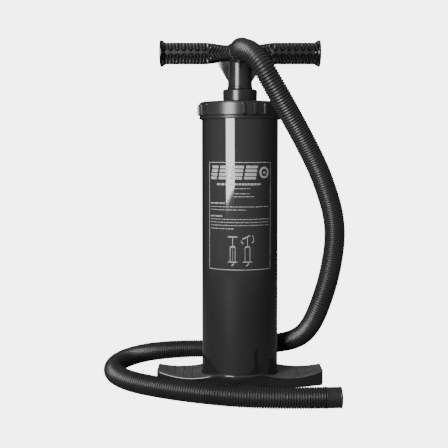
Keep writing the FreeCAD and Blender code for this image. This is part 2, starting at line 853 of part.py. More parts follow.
def make_valves():
    """Flat rubber rings. Each lies on the side of a plate that its air leaves by."""
    upper_top = "upper_plate_bottom + plate_thickness + valve_gap"
    lower_top = "lower_plate_bottom + plate_thickness + valve_gap"
    upper_under = "upper_plate_bottom - valve_gap - valve_thickness"
    lower_under = "lower_plate_bottom - valve_gap - valve_thickness"
    seats = (
        ("upper_intake_valve", "intake", upper_top),
        ("lower_intake_valve", "intake", lower_under),
        ("upper_delivery_valve", "delivery", upper_under),
        ("lower_delivery_valve", "delivery", lower_top),
    )
    for label, kind, low in seats:
        inner, outer = f"{kind}_valve_inner_radius", f"{kind}_valve_outer_radius"
        turned(label, ring(inner, outer, low, f"{low} + valve_thickness"))


def make_piston_screws():
    head = ("piston_screw_head_radius", "piston_bottom - piston_screw_head_height", "piston_bottom")
    shank = ("piston_screw_radius", "piston_bottom", "piston_top - piston_screw_tip_gap")
    angle = "piston_screw_angle"
    make_screws("piston_screws", "piston_screw_count", "piston_screw_circle", angle, head, shank)


# ---------------------------------------------------------------- handle and its ports


def add_web(body):
    """A gusset in the corner between a grip and the neck, with a hollow curved edge."""
    sketch = new_sketch(body, "XZ_Plane")
    inner = value("neck_top_radius - web_overlap")
    top = -value("grip_waist_radius - web_overlap")
    reach, drop = value("web_reach"), -value("web_drop")
    lip, foot = top - value("web_lip"), value("neck_radius - web_inset")
    corners = [(inner, top), (reach, top), (reach, lip), (foot, drop), (inner, drop)]
    points = [FreeCAD.Vector(x, z, 0) for x, z in corners]
    chord = points[3] - points[2]
    middle = (points[2] + points[3]) / 2
    outwards = FreeCAD.Vector(-chord.y, chord.x, 0).normalize()
    away = math.sqrt(value("web_curve") ** 2 - (chord.Length / 2) ** 2)
    centre = middle + outwards * away
    if centre.x < middle.x:
        centre = middle - outwards * away
    angles = [math.atan2(point.y - centre.y, point.x - centre.x) for point in (points[2], points[3])]
    circle = Part.Circle(centre, FreeCAD.Vector(0, 0, 1), value("web_curve"))
    for start, end in ((0, 1), (1, 2)):
        sketch.addGeometry(Part.LineSegment(points[start], points[end]))
    sketch.addGeometry(Part.ArcOfCircle(circle, angles[0] % (2 * math.pi), angles[1] % (2 * math.pi)))
    for start, end in ((3, 4), (4, 0)):
        sketch.addGeometry(Part.LineSegment(points[start], points[end]))
    web = pad(body, sketch, "web_thickness", symmetric=True)
    mirror(body, [web], "YZ_Plane")


def draw_pocket(sketch, middle, side, row):
    """A U-shaped groove round a tongue, open at the grip's top or bottom. side and row are 1 or -1."""
    bend = value("pocket_root + pocket_half_width") * row
    end = value("grip_end_radius + pocket_over") * row
    middle *= side
    normal = FreeCAD.Vector(0, 0, 1)
    halves = (value("pocket_half_width"), value("tongue_half_width"))
    low, high = (math.pi, 2 * math.pi) if row > 0 else (0, math.pi)
    for half in halves:
        circle = Part.Circle(FreeCAD.Vector(middle, bend, 0), normal, half)
        sketch.addGeometry(Part.ArcOfCircle(circle, low, high))
    outer, inner = halves
    for edge in (1, -1):
        corners = [(outer, bend), (outer, end), (inner, end), (inner, bend)]
        points = [FreeCAD.Vector(middle + edge * across, up, 0) for across, up in corners]
        for start, finish in zip(points, points[1:]):
            sketch.addGeometry(Part.LineSegment(start, finish))


def add_grip_pockets(body):
    """Rows of pockets in both grips, above and below a middle spine, on the front and on the back."""
    for face in (1, -1):
        sketch = new_sketch(body, "XZ_Plane", f"{face} * pocket_floor")
        for number in range(count("pocket_count")):
            middle = value(f"pocket_first + {number} * pocket_pitch")
            for side in (1, -1):
                for row in (1, -1):
                    draw_pocket(sketch, middle, side, row)
        pocket(body, sketch, back=face > 0)


def make_handle():
    """Hub, neck, webs and grips. The body's own origin is where the grips' axis crosses the pump's."""
    body = place(new_body("handle"), z="grip_height")
    half = [
        ("grip_end_radius", "handle_half_span - grip_end_length"),
        ("grip_radius", "handle_half_span - grip_end_length"),
        ("grip_radius", "grip_waist_end"),
        ("grip_waist_radius", "grip_waist"),
    ]
    right_end = [("0", "handle_half_span"), ("grip_end_radius - grip_end_edge", "handle_half_span")]
    right_end += [("grip_end_radius", "handle_half_span - grip_end_edge")]
    left_end = [(radius, f"-({along})") for radius, along in reversed(right_end + half)]
    turn(body, right_end + half + left_end, "X")
    turn(
        body,
        [
            ("0", "neck_bottom - grip_height"),
            ("neck_radius", "neck_bottom - grip_height"),
            ("neck_top_radius", "-grip_waist_radius"),
            ("neck_top_radius", "hub_top - grip_height - hub_edge"),
            ("neck_top_radius - hub_edge", "hub_top - grip_height"),
            ("0", "hub_top - grip_height"),
        ],
    )
    turn(body, ring("0", "port_boss_radius", "-port_boss_reach", "port_boss_reach"), "Y")
    add_web(body)
    add_grip_pockets(body)
    rod_start = "neck_bottom - grip_height - bore_over"
    rod_end = "rod_top - grip_height"
    turn(body, ring("0", "rod_radius + fit_clearance", rod_start, rod_end), cut=True)
    turn(body, ring("0", "rod_bore_radius", f"{rod_end} - bore_over", "plenum_top - grip_height"), cut=True)
    turn(body, ring("0", "outlet_bore_radius", "-port_boss_reach - bore_over", "0"), "Y", cut=True)
    turn(body, ring("0", "intake_passage_radius", "0", "intake_bore_start + bore_over"), "Y", cut=True)
    mouth = "port_boss_reach + bore_over"
    turn(body, ring("0", "intake_bore_radius", "intake_bore_start", mouth), "Y", cut=True)
    for number in range(count("handle_screw_count")):
        height = f"handle_screw_low + {number} * handle_screw_pitch - grip_height"
        bore_sideways(body, "handle_screw_hole_radius", height)
        sketch = new_sketch(body, "XZ_Plane", "-handle_screw_seat")
        add_circle(sketch, "0", height, "handle_screw_head_radius + handle_screw_head_play")
        pocket(body, sketch)


def make_handle_screws():
    solids = []
    for number in range(count("handle_screw_count")):
        height = f"handle_screw_low + {number} * handle_screw_pitch"
        depth = "neck_radius - handle_screw_inset - handle_screw_seat"
        head = cylinder("head", "handle_screw_head_radius", depth, y="handle_screw_seat", z=height, axis="Y")
        reach = "handle_screw_seat - handle_screw_tip"
        shank = cylinder("shank", "handle_screw_radius", reach, y="handle_screw_tip", z=height, axis="Y")
        screw = doc.addObject("Part::MultiFuse", "handle_screw")
        screw.Shapes = [head, shank]
        solids.append(screw)
    group = doc.addObject("Part::Compound", "handle_screws")
    group.Links = solids
    doc.recompute()
    subpart(group, "handle_screws")


def make_port_collars():
    for label, bore, near, far in (
        ("outlet_collar", "outlet_bore_radius", "-port_boss_reach", "-port_reach"),
        ("intake_collar", "intake_bore_radius", "port_boss_reach", "port_reach"),
    ):
        outline = [(bore, near), ("port_boss_radius", near), ("port_boss_radius", f"{far} * port_edge_share")]
        outline += [("port_boss_radius - port_edge", far), (bore, far)]
        place(turned(label, outline, "Y"), z="grip_height")


def make_intake_grille():
    outer = "intake_passage_radius - fit_clearance"
    outline = ring("0", outer, "grille_inner", "grille_inner + grille_thickness")
    body = place(turned("intake_grille", outline, "Y"), z="grip_height")
    bore_round(body, "grille_hole_radius", "grille_hole_circle", "grille_hole_count", "0", "XZ_Plane", "Y")


def make_outlet_duct():
    """A bent tube that turns the pumped air from the inner tube to the port on the front of the hub."""
    start = FreeCAD.Vector(0, 0, value("inner_tube_top"))
    bend = value("duct_bend_radius")
    height = value("grip_height")
    bend_start = FreeCAD.Vector(0, 0, height - bend)
    bend_end = FreeCAD.Vector(0, -bend, height)
    slant = bend * (1 - math.sqrt(0.5))
    bend_middle = FreeCAD.Vector(0, -slant, height - slant)
    end = FreeCAD.Vector(0, -value("duct_end"), height)
    edges = [
        Part.LineSegment(start, bend_start).toShape(),
        Part.Arc(bend_start, bend_middle, bend_end).toShape(),
        Part.LineSegment(bend_end, end).toShape(),
    ]
    upwards = FreeCAD.Vector(0, 0, 1)
    outside = sweep(edges, start, upwards, value("duct_outer_radius"))
    inside = sweep(edges, start, upwards, value("inner_tube_bore_radius"))
    duct = doc.addObject("Part::Feature", "outlet_duct")
    duct.Shape = outside.cut(inside)
    subpart(duct, "outlet_duct")


def sweep(edges, start, direction, radius):
    """A solid round rod along a smooth path of edges."""
    outline = Part.Wire([Part.makeCircle(radius, start, direction)])
    return Part.Wire(edges).makePipeShell([outline], True, False)


def make_duct_sleeve():
    low = "inner_tube_top - sleeve_half_height"
    high = "inner_tube_top + sleeve_half_height"
    outline = [
        ("inner_tube_radius + fit_clearance", low),
        ("sleeve_radius", low),
        ("sleeve_radius", "inner_tube_top"),
        ("sleeve_radius + sleeve_swell", "inner_tube_top + sleeve_step"),
        ("sleeve_radius + sleeve_swell", "grip_height - duct_bend_radius"),
        ("duct_outer_radius + fit_clearance", "grip_height - duct_bend_radius"),
        ("duct_outer_radius + fit_clearance", "inner_tube_top"),
        ("inner_tube_radius + fit_clearance", "inner_tube_top"),
    ]
    turned("duct_sleeve", outline)


# ---------------------------------------------------------------- hose


def make_hose_cuff():
    """The plain cuff on the hub's front port, with a spigot that plugs into the port."""
    outline = [
        ("inner_tube_bore_radius", "-cuff_spigot_start"),
        ("outlet_bore_radius - spigot_play", "-cuff_spigot_start"),
        ("outlet_bore_radius - spigot_play", "-port_reach"),
        ("cuff_radius", "-port_reach"),
        ("cuff_radius", "-cuff_end"),
        ("cuff_bore_radius", "-cuff_end"),
        ("cuff_bore_radius", "-port_reach - cuff_rim_length"),
        ("inner_tube_bore_radius", "-port_reach - cuff_rim_length"),
    ]
    place(turned("hose_cuff", outline, "Y"), z="grip_height")


def corner_arc(before, corner, after):
    """Where a corner's arc starts and ends, its middle and its radius."""
    share_of_run = 0.45
    back, on = before - corner, after - corner
    reach = share_of_run * min(back.Length, on.Length)
    back.normalize()
    on.normalize()
    half_turn = (math.pi - back.getAngle(on)) / 2
    radius = reach / math.tan(half_turn)
    inwards = (back + on).normalize()
    centre = corner + inwards * (radius / math.cos(half_turn))
    return corner + back * reach, centre - inwards * radius, corner + on * reach, radius


def hose_path():
    points = [FreeCAD.Vector(*point) for point in HOSE_ROUTE]
    edges, radii, reached = [], [], points[0]
    for before, corner, after in zip(points, points[1:], points[2:]):
        start, middle, end, radius = corner_arc(before, corner, after)
        edges.append(Part.LineSegment(reached, start).toShape())
        edges.append(Part.Arc(start, middle, end).toShape())
        radii.append(radius)
        reached = end
    edges.append(Part.LineSegment(reached, points[-1]).toShape())
    return edges, radii


def make_hose():
    edges, radii = hose_path()
    start = FreeCAD.Vector(*HOSE_ROUTE[0])
    direction = FreeCAD.Vector(*HOSE_ROUTE[1]) - start
    outside = sweep(edges, start, direction, value("hose_radius"))
    inside = sweep(edges, start, direction, value("hose_bore_radius"))
    tube = outside.cut(inside)
    length = sum(edge.Length for edge in edges)
    section = math.pi * (value("hose_radius") ** 2 - value("hose_bore_radius") ** 2)
    tolerance = 0.01
    if abs(tube.Volume - section * length) > tolerance * section * length:
        raise RuntimeError("the hose's volume isn't its section times its length")
    print("hose length", round(length, 1), "bend radii", [round(radius) for radius in radii])
    hose = doc.addObject("Part::Feature", "hose")
    hose.Shape = tube
    subpart(hose, "hose")


def make_end_cuff():
    """The plain cuff on the hose's free end, which takes a nozzle."""
    before, end = (FreeCAD.Vector(*point) for point in HOSE_ROUTE[-2:])
    direction = end - before
    rim = "end_cuff_length - end_cuff_rim_length"
    outline = [
        ("end_cuff_bore_radius", "0"),
        ("end_cuff_radius - end_cuff_foot_inset", "0"),
        ("end_cuff_radius - end_cuff_foot_inset", "end_cuff_foot_length"),
        ("end_cuff_radius - end_cuff_waist_inset", f"{rim} - end_cuff_rim_slope"),
        ("end_cuff_radius", rim),
        ("end_cuff_radius", "end_cuff_length"),
        ("end_cuff_bore_radius", "end_cuff_length"),
    ]
    body = turned("hose_end_cuff", outline)
    turning = FreeCAD.Rotation(FreeCAD.Vector(0, 0, 1), direction)
    body.Placement = FreeCAD.Placement(end + direction.normalize() * value("hose_gap"), turning)


def check_document():
    """Stops if any object failed or any sub-part has no valid shape."""
    doc.recompute()
    for item in doc.Objects:
        if {"Invalid", "Error"} & set(item.State):
            raise RuntimeError(f"{item.Label} failed: {item.State}")
    for item in SUBPARTS:
        if item.Shape.isNull() or not item.Shape.isValid():
            raise RuntimeError(f"{item.Label} has no valid shape")


def main():
    make_barrel()
    make_foot_base()
    make_foot_screws()
    make_floor_buffer()
    make_screw_cap()
    make_cap_gasket()
    make_rod_guide()
    make_rod_bush()
    make_stop_buffer()
    make_gland_collar()
    make_rod_seal()
    make_outer_rod()
    make_inner_tube()
    make_piston_plates()
    make_piston_manifold()
    make_piston_skirt()
    make_piston_rings()
    make_valve_cages()
    make_valves()
    make_piston_screws()
    make_handle()
    make_handle_screws()
    make_port_collars()
    make_intake_grille()
    make_outlet_duct()
    make_duct_sleeve()
    make_hose_cuff()
    make_hose()
    make_end_cuff()
    check_document()
    os.makedirs("parts", exist_ok=True)
    for item in SUBPARTS:
        item.Shape.exportStep(f"parts/{item.Label}.step")


main()
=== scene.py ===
import math

import bmesh
import bpy
import numpy as np
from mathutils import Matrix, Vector


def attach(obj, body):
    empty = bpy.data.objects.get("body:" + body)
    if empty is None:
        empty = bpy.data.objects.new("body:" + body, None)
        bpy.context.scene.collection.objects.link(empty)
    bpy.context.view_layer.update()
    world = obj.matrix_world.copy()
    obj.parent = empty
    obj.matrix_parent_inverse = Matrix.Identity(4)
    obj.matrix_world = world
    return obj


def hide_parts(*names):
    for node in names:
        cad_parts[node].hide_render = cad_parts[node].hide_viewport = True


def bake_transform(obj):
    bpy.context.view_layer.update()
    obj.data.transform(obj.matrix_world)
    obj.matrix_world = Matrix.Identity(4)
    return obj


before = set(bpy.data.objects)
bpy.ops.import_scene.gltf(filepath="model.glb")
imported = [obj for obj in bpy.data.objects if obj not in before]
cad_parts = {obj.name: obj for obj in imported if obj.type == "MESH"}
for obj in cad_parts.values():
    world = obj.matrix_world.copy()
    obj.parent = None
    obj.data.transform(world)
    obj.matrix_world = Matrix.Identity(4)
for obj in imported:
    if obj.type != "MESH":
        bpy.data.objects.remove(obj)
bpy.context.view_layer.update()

MM = 0.001
TAU = math.tau

# Lengths of the object in millimetres, shared by several pieces.
BARREL_RADIUS = 53.2
HUB_HEIGHT = 462.0

# ------------------------------------------------------------------ camera
camera_data = bpy.data.cameras.new("camera")
camera_data.sensor_width = 36.0
camera_data.lens = 67.93
camera_data.shift_y = -0.045
camera = bpy.data.objects.new("camera", camera_data)
camera.location = (-0.0223, -1.185, 0.3257)
camera.rotation_euler = (math.radians(90.0 - 3.52), 0.0, 0.0)
bpy.context.scene.collection.objects.link(camera)
bpy.context.scene.camera = camera


# --------------------------------------------------------------- materials
NOISE_LOW, NOISE_HIGH = 0.3, 0.7


class Look:
    """A node material under construction: a Principled shader with procedural detail."""

    def __init__(self, name, colour, roughness, specular):
        self.material = bpy.data.materials.new(name)
        self.material.use_nodes = True
        self.tree = self.material.node_tree
        self.shader = self.tree.nodes["Principled BSDF"]
        self.shader.inputs["Base Color"].default_value = (*colour, 1.0)
        self.shader.inputs["Roughness"].default_value = roughness
        self.shader.inputs["Specular IOR Level"].default_value = specular
        self.where = self.tree.nodes.new("ShaderNodeTexCoord").outputs["Object"]

    def link(self, source, target):
        self.tree.links.new(source, target)

    def noise(self, scale, detail, stretch=(1.0, 1.0, 1.0)):
        mapping = self.tree.nodes.new("ShaderNodeMapping")
        mapping.inputs["Scale"].default_value = stretch
        self.link(self.where, mapping.inputs["Vector"])
        node = self.tree.nodes.new("ShaderNodeTexNoise")
        node.inputs["Scale"].default_value = scale
        node.inputs["Detail"].default_value = detail
        self.link(mapping.outputs["Vector"], node.inputs["Vector"])
        return node.outputs["Fac"]

    def vary_roughness(self, source, low, high):
        node = self.tree.nodes.new("ShaderNodeMapRange")
        node.inputs["From Min"].default_value = NOISE_LOW
        node.inputs["From Max"].default_value = NOISE_HIGH
        node.inputs["To Min"].default_value = low
        node.inputs["To Max"].default_value = high
        self.link(source, node.inputs["Value"])
        self.link(node.outputs["Result"], self.shader.inputs["Roughness"])

    def vary_colour(self, source, dark, light):
        ramp = self.tree.nodes.new("ShaderNodeValToRGB")
        ramp.color_ramp.elements[0].position = NOISE_LOW
        ramp.color_ramp.elements[0].color = (*dark, 1.0)
        ramp.color_ramp.elements[1].position = NOISE_HIGH
        ramp.color_ramp.elements[1].color = (*light, 1.0)
        self.link(source, ramp.inputs["Fac"])
        self.link(ramp.outputs["Color"], self.shader.inputs["Base Color"])

    def bump(self, source, depth, strength):
        node = self.tree.nodes.new("ShaderNodeBump")
        node.inputs["Strength"].default_value = strength
        node.inputs["Distance"].default_value = depth
        self.link(source, node.inputs["Height"])
        if self.shader.inputs["Normal"].is_linked:
            self.link(self.shader.inputs["Normal"].links[0].from_socket, node.inputs["Normal"])
        self.link(node.outputs["Normal"], self.shader.inputs["Normal"])


def grey(value):
    """A grey of the given level, a trace warmer than neutral."""
    return (value, value * 0.995, value * 0.985)


def make_looks():
    looks = {}
    gloss = Look("gloss_black_plastic", grey(0.006), 0.06, 0.5)
    gloss.vary_roughness(gloss.noise(9.0, 4.0), 0.045, 0.08)
    gloss.vary_colour(gloss.noise(4.0, 2.0), grey(0.005), grey(0.0075))
    gloss.bump(gloss.noise(26.0, 2.0), 0.00012, 0.25)
    gloss.bump(gloss.noise(900.0, 2.0), 0.00001, 0.3)
    looks["gloss"] = gloss.material

    satin = Look("satin_black_plastic", grey(0.007), 0.28, 0.5)
    satin.vary_roughness(satin.noise(40.0, 4.0), 0.24, 0.34)
    satin.vary_colour(satin.noise(15.0, 3.0), grey(0.006), grey(0.010))
    satin.bump(satin.noise(1400.0, 2.0), 0.00004, 0.35)
    looks["satin"] = satin.material

    grip = Look("moulded_black_plastic", grey(0.005), 0.22, 0.33)
    grip.vary_roughness(grip.noise(60.0, 4.0), 0.18, 0.26)
    grip.vary_colour(grip.noise(25.0, 3.0), grey(0.004), grey(0.006))
    grip.bump(grip.noise(1200.0, 2.0), 0.00003, 0.35)
    looks["grip"] = grip.material

    cap_look = Look("screw_cap_plastic", grey(0.005), 0.3, 0.36)
    cap_look.vary_roughness(cap_look.noise(60.0, 4.0), 0.26, 0.33)
    cap_look.vary_colour(cap_look.noise(25.0, 3.0), grey(0.004), grey(0.006))
    cap_look.bump(cap_look.noise(1300.0, 2.0), 0.00003, 0.3)
    looks["cap"] = cap_look.material

    tread = Look("worn_tread_plastic", grey(0.03), 0.5, 0.6)
    tread.vary_roughness(tread.noise(70.0, 5.0), 0.38, 0.6)
    tread.vary_colour(tread.noise(45.0, 5.0), grey(0.018), grey(0.036))
    tread.bump(tread.noise(1500.0, 3.0), 0.00008, 0.6)
    looks["tread"] = tread.material

    hose = Look("ribbed_hose_plastic", grey(0.006), 0.32, 0.24)
    hose.vary_roughness(hose.noise(30.0, 4.0), 0.28, 0.36)
    hose.vary_colour(hose.noise(18.0, 3.0), grey(0.005), grey(0.008))
    hose.bump(hose.noise(1100.0, 2.0), 0.00003, 0.3)
    looks["hose"] = hose.material

    sleeve = Look("smooth_hose_plastic", grey(0.008), 0.36, 0.26)
    sleeve.vary_roughness(sleeve.noise(30.0, 4.0), 0.32, 0.4)
    sleeve.vary_colour(sleeve.noise(18.0, 3.0), grey(0.006), grey(0.010))
    sleeve.bump(sleeve.noise(1100.0, 2.0), 0.00003, 0.3)
    looks["sleeve"] = sleeve.material

    ink = Look("pale_ink", grey(0.16), 0.45, 0.4)
    ink.vary_colour(ink.noise(600.0, 3.0), grey(0.13), grey(0.19))
    ink.vary_roughness(ink.noise(300.0, 3.0), 0.38, 0.52)
    looks["ink"] = ink.material

    rubber = Look("seal_rubber", grey(0.02), 0.6, 0.35)
    rubber.vary_roughness(rubber.noise(200.0, 4.0), 0.5, 0.7)
    rubber.vary_colour(rubber.noise(90.0, 4.0), grey(0.015), grey(0.03))
    rubber.bump(rubber.noise(1800.0, 2.0), 0.00005, 0.4)
    looks["rubber"] = rubber.material

    pale = Look("natural_nylon", (0.55, 0.53, 0.47), 0.4, 0.5)
    pale.vary_colour(pale.noise(80.0, 3.0), (0.50, 0.48, 0.42), (0.60, 0.58, 0.52))
    pale.vary_roughness(pale.noise(150.0, 3.0), 0.34, 0.46)
    pale.bump(pale.noise(1500.0, 2.0), 0.00003, 0.3)
    looks["nylon"] = pale.material

    steel = Look("bright_screw_steel", (0.56, 0.56, 0.55), 0.25, 0.5)
    steel.shader.inputs["Metallic"].default_value = 1.0
    steel.vary_roughness(steel.noise(500.0, 3.0, stretch=(1.0, 1.0, 8.0)), 0.18, 0.36)
    steel.bump(steel.noise(1600.0, 2.0), 0.00002, 0.3)
    looks["steel"] = steel.material
    return looks


LOOKS = make_looks()


# ------------------------------------------------------------- mesh makers
def grid(points, wrap_rows=False, wrap_columns=True):
    """Points as rows x columns x 3 and the quads between them."""
    points = np.asarray(points, float)
    rows, columns = points.shape[:2]
    faces = []
    for i in range(rows if wrap_rows else rows - 1):
        for j in range(columns if wrap_columns else columns - 1):
            a = i * columns + j
            b = i * columns + (j + 1) % columns
            c = ((i + 1) % rows) * columns + (j + 1) % columns
            d = ((i + 1) % rows) * columns + j
            faces.append((a, b, c, d))
    return points.reshape(-1, 3), faces


def joined(*parts):
    """Several meshes as one, as points and faces."""
    points, faces, start = [], [], 0
    for some_points, some_faces in parts:
        points.append(np.asarray(some_points, float))
        faces += [tuple(i + start for i in face) for face in some_faces]
        start += len(some_points)
    return np.concatenate(points), faces


def capped(part, columns):
    """A grid of closed rings with one face over its first ring and one over its last."""
    points, faces = part
    count = len(points)
    return points, [*faces, tuple(reversed(range(columns))), tuple(range(count - columns, count))]


ROUNDING_STEPS = 4


def softened(outline):
    """A closed outline of (a, b, radius) corners with each corner turned into a short curve."""
    result = []
    count = len(outline)
    for i, (a, b, radius) in enumerate(outline):
        here = Vector((a, b))
        before = Vector(outline[i - 1][:2]) - here
        after = Vector(outline[(i + 1) % count][:2]) - here
        if radius <= 0.0:
            result.append((a, b))
            continue
        opening = before.angle(after)
        reach = min(radius / math.tan(opening / 2.0), 0.49 * before.length, 0.49 * after.length)
        start = here + before.normalized() * reach
        end = here + after.normalized() * reach
        for k in range(ROUNDING_STEPS + 1):
            t = k / ROUNDING_STEPS
            point = start * (1 - t) ** 2 + here * (2 * t * (1 - t)) + end * t**2
            result.append((point.x, point.y))
    return result


AXES = {
    "Z": ((1, 0, 0), (0, 1, 0), (0, 0, 1)),
    "Y": ((0, 0, 1), (1, 0, 0), (0, 1, 0)),
}


def turned(outline, axes="Z", centre=(0, 0, 0), segments=128, closed=True):
    """A turned piece: (radius, height, corner radius) points carried round an axis."""
    u, v, w = (np.array(axis, float) for axis in (AXES[axes] if isinstance(axes, str) else axes))
    profile = np.array(softened(outline))
    angles = np.arange(segments) * TAU / segments
    spokes = np.cos(angles)[:, None] * u + np.sin(angles)[:, None] * v
    points = (
        np.array(centre, float)
        + profile[:, 0, None, None] * spokes[None]
        + profile[:, 1, None, None] * w
    )
    return grid(points, wrap_rows=closed)


def plate(outline, half_thickness, bevel, place):
    """A flat plate with bevelled edges, from a closed outline; place(a, b, h) gives the point."""
    outline = np.array(outline, float)
    ahead = np.roll(outline, -1, axis=0) - outline
    back = outline - np.roll(outline, 1, axis=0)

    def normal(d):
        return np.stack([d[:, 1], -d[:, 0]], 1) / np.linalg.norm(d, axis=1)[:, None]

    inward = -(normal(ahead) + normal(back))
    inward /= np.linalg.norm(inward, axis=1)[:, None]
    middle_of_bevel = 0.3 * bevel
    rings = []
    for height, inset in (
        (-half_thickness, bevel),
        (-half_thickness + middle_of_bevel, middle_of_bevel),
        (-half_thickness + bevel, 0.0),
        (half_thickness - bevel, 0.0),
        (half_thickness - middle_of_bevel, middle_of_bevel),
        (half_thickness, bevel),
    ):
        rings.append([place(a, b, height) for a, b in outline + inward * inset])
    return capped(grid(rings), len(outline))


def smooth(value, low, high):
    """0 below low, 1 above high and an even curve between them."""
    t = np.clip((value - low) / (high - low), 0.0, 1.0)
    return t * t * (3.0 - 2.0 * t)


def piece(name, part, look, body, stands_for=(), crease=35.0):
    """A finished object from millimetre points and faces, in the frame's bodies."""
    points, faces = part
    mesh = bpy.data.meshes.new(name)
    mesh.from_pydata((points * MM).tolist(), [], faces)
    mesh.validate()
    mesh.shade_smooth()
    mesh.set_sharp_from_angle(angle=math.radians(crease))
    mesh.materials.append(LOOKS[look])
    made = bpy.data.objects.new(name, mesh)
    bpy.context.scene.collection.objects.link(made)
    tidy_normals(made)
    if body:
        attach(made, body)
    if stands_for:
        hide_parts(*stands_for)
    return made


MERGE_DISTANCE = 1e-7


def tidy_normals(made):
    """Points in the same place become one, and every face looks outwards."""
    shell = bmesh.new()
    shell.from_mesh(made.data)
    bmesh.ops.remove_doubles(shell, verts=shell.verts, dist=MERGE_DISTANCE)
    bmesh.ops.recalc_face_normals(shell, faces=shell.faces)
    shell.to_mesh(made.data)
    shell.free()


# -------------------------------------------------------------------- hose
HOSE_DIAMETER = 0.028
HOSE_ROUTE = [
    (0.0000, -0.0645, 0.4605),
    (0.0078, -0.0950, 0.4575),
    (0.0222, -0.1170, 0.4405),
    (0.0395, -0.1160, 0.4103),
    (0.0608, -0.1040, 0.3753),
    (0.0860, -0.0900, 0.3322),
    (0.1081, -0.0780, 0.2887),
    (0.1274, -0.0660, 0.2279),
    (0.1208, -0.0600, 0.1647),
    (0.1050, -0.0460, 0.1075),
    (0.0930, -0.0160, 0.0745),
    (0.0780, 0.0260, 0.0535),
    (0.0560, 0.0780, 0.0370),
    (0.0140, 0.1200, 0.0205),
    (-0.0400, 0.1385, 0.0149),
    (-0.0980, 0.1360, 0.0146),
    (-0.1490, 0.1120, 0.0146),
    (-0.1805, 0.0600, 0.0146),
    (-0.1825, -0.0020, 0.0146),
    (-0.1550, -0.0500, 0.0146),
    (-0.1100, -0.0830, 0.0146),
    (-0.0500, -0.1110, 0.0146),
    (0.0100, -0.1290, 0.0146),
    (0.0620, -0.1330, 0.0146),
    (0.1060, -0.1305, 0.0146),
]


def route_line(route):
    """The points of the smooth NURBS line that the given route controls, in metres."""
    curve = bpy.data.curves.new("hose_route", "CURVE")
    curve.dimensions = "3D"
    curve.resolution_u = 40
    spline = curve.splines.new("NURBS")
    spline.points.add(len(route) - 1)
    for point, place in zip(spline.points, route):
        point.co = (*place, 1.0)
    spline.order_u = 3
    spline.use_endpoint_u = True
    holder = bpy.data.objects.new("hose_route", curve)
    bpy.context.scene.collection.objects.link(holder)
    bpy.context.view_layer.update()
    mesh = bpy.data.meshes.new_from_object(holder)
    line = np.array([tuple(vertex.co) for vertex in mesh.vertices])
    bpy.data.objects.remove(holder)
    return line


class Path:
    """A line measured along its length, with a steady frame across it."""

    SAME_PLACE = 1e-9

    def __init__(self, line, step):
        steps = np.linalg.norm(np.diff(line, axis=0), axis=1)
        line = line[np.concatenate([[True], steps > self.SAME_PLACE])]
        travelled = np.concatenate([[0.0], np.cumsum(np.linalg.norm(np.diff(line, axis=0), axis=1))])
        self.length = travelled[-1]
        count = max(2, int(round(self.length / step)) + 1)
        self.along = np.linspace(0.0, self.length, count)
        self.points = np.stack([np.interp(self.along, travelled, line[:, k]) for k in range(3)], 1)
        tangents = np.gradient(self.points, axis=0)
        self.tangents = tangents / np.linalg.norm(tangents, axis=1)[:, None]
        side = np.cross(self.tangents[0], (0.0, 0.0, 1.0))
        side /= np.linalg.norm(side)
        sides = [side]
        for tangent in self.tangents[1:]:
            side = side - tangent * np.dot(side, tangent)
            side = side / np.linalg.norm(side)
            sides.append(side)
        self.sides = np.array(sides)
        self.ups = np.cross(self.sides, self.tangents)

    def tube(self, radii, segments):
        """Rings of the given radii round the line, as a closed tube; metres in, millimetres out."""
        angles = np.arange(segments) * TAU / segments
        spokes = (
            np.cos(angles)[None, :, None] * self.sides[:, None]
            + np.sin(angles)[None, :, None] * self.ups[:, None]
        )
        points = (self.points[:, None] + radii[:, None, None] * spokes) / MM
        return capped(grid(points), segments)


HOSE_PITCH = 0.00335
PITCH_PLACES = [0.0, 0.12, 0.22, 0.28, 0.4]
PITCHES = [0.0037, 0.0037, 0.0032, 0.0030, HOSE_PITCH]
VALLEY_DEPTH = 0.0019
RIB_FULLNESS = 0.8
RINGS_A_PITCH = 8
hose_line = route_line(HOSE_ROUTE)
hose_path = Path(hose_line, HOSE_PITCH / RINGS_A_PITCH)


def hose_radii(path):
    """Round ribs with narrow valleys between them; they stand further apart where the hose is stretched."""
    crest = HOSE_DIAMETER / 2.0
    pitch = np.interp(path.along, PITCH_PLACES, PITCHES)
    turns = np.concatenate([[0.0], np.cumsum(np.diff(path.along) / pitch[1:])])
    wave = np.abs(np.cos(math.pi * turns)) ** RIB_FULLNESS
    return crest - VALLEY_DEPTH * (1.0 - wave)


def make_hose():
    """The ribbed hose; the real one is fixed to the base below and carried by the handle above."""
    part = hose_path.tube(hose_radii(hose_path), 32)
    hose = piece("corrugated_hose", part, "hose", None, ("hose",), crease=180.0)
    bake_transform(hose)
    return hose


SLEEVE_REACH = 0.012
SLEEVE_ROOT = [(0.0, -0.030, 0.4618), (0.0, -0.040, 0.4614), (0.0, -0.050, 0.4610), (0.0, -0.058, 0.4606)]
SLEEVE_RADIUS = 0.0144
SLEEVE_SWELL = 0.0006
SLEEVE_LIP = 0.0008


def make_hose_sleeve():
    """The smooth elbow that carries the hose out of the handle and into its first bend."""
    travelled = np.cumsum(np.linalg.norm(np.diff(hose_line, axis=0), axis=1))
    bend = hose_line[: np.searchsorted(travelled, SLEEVE_REACH)]
    path = Path(np.concatenate([np.array(SLEEVE_ROOT), bend]), 0.0012)
    t = path.along / path.length
    radii = SLEEVE_RADIUS + SLEEVE_SWELL * smooth(t, 0.15, 0.6) - SLEEVE_LIP * smooth(t, 0.93, 1.0)
    part = path.tube(radii, 72)
    return piece("hose_sleeve", part, "sleeve", "plunger", ("hose_cuff",), crease=60.0)


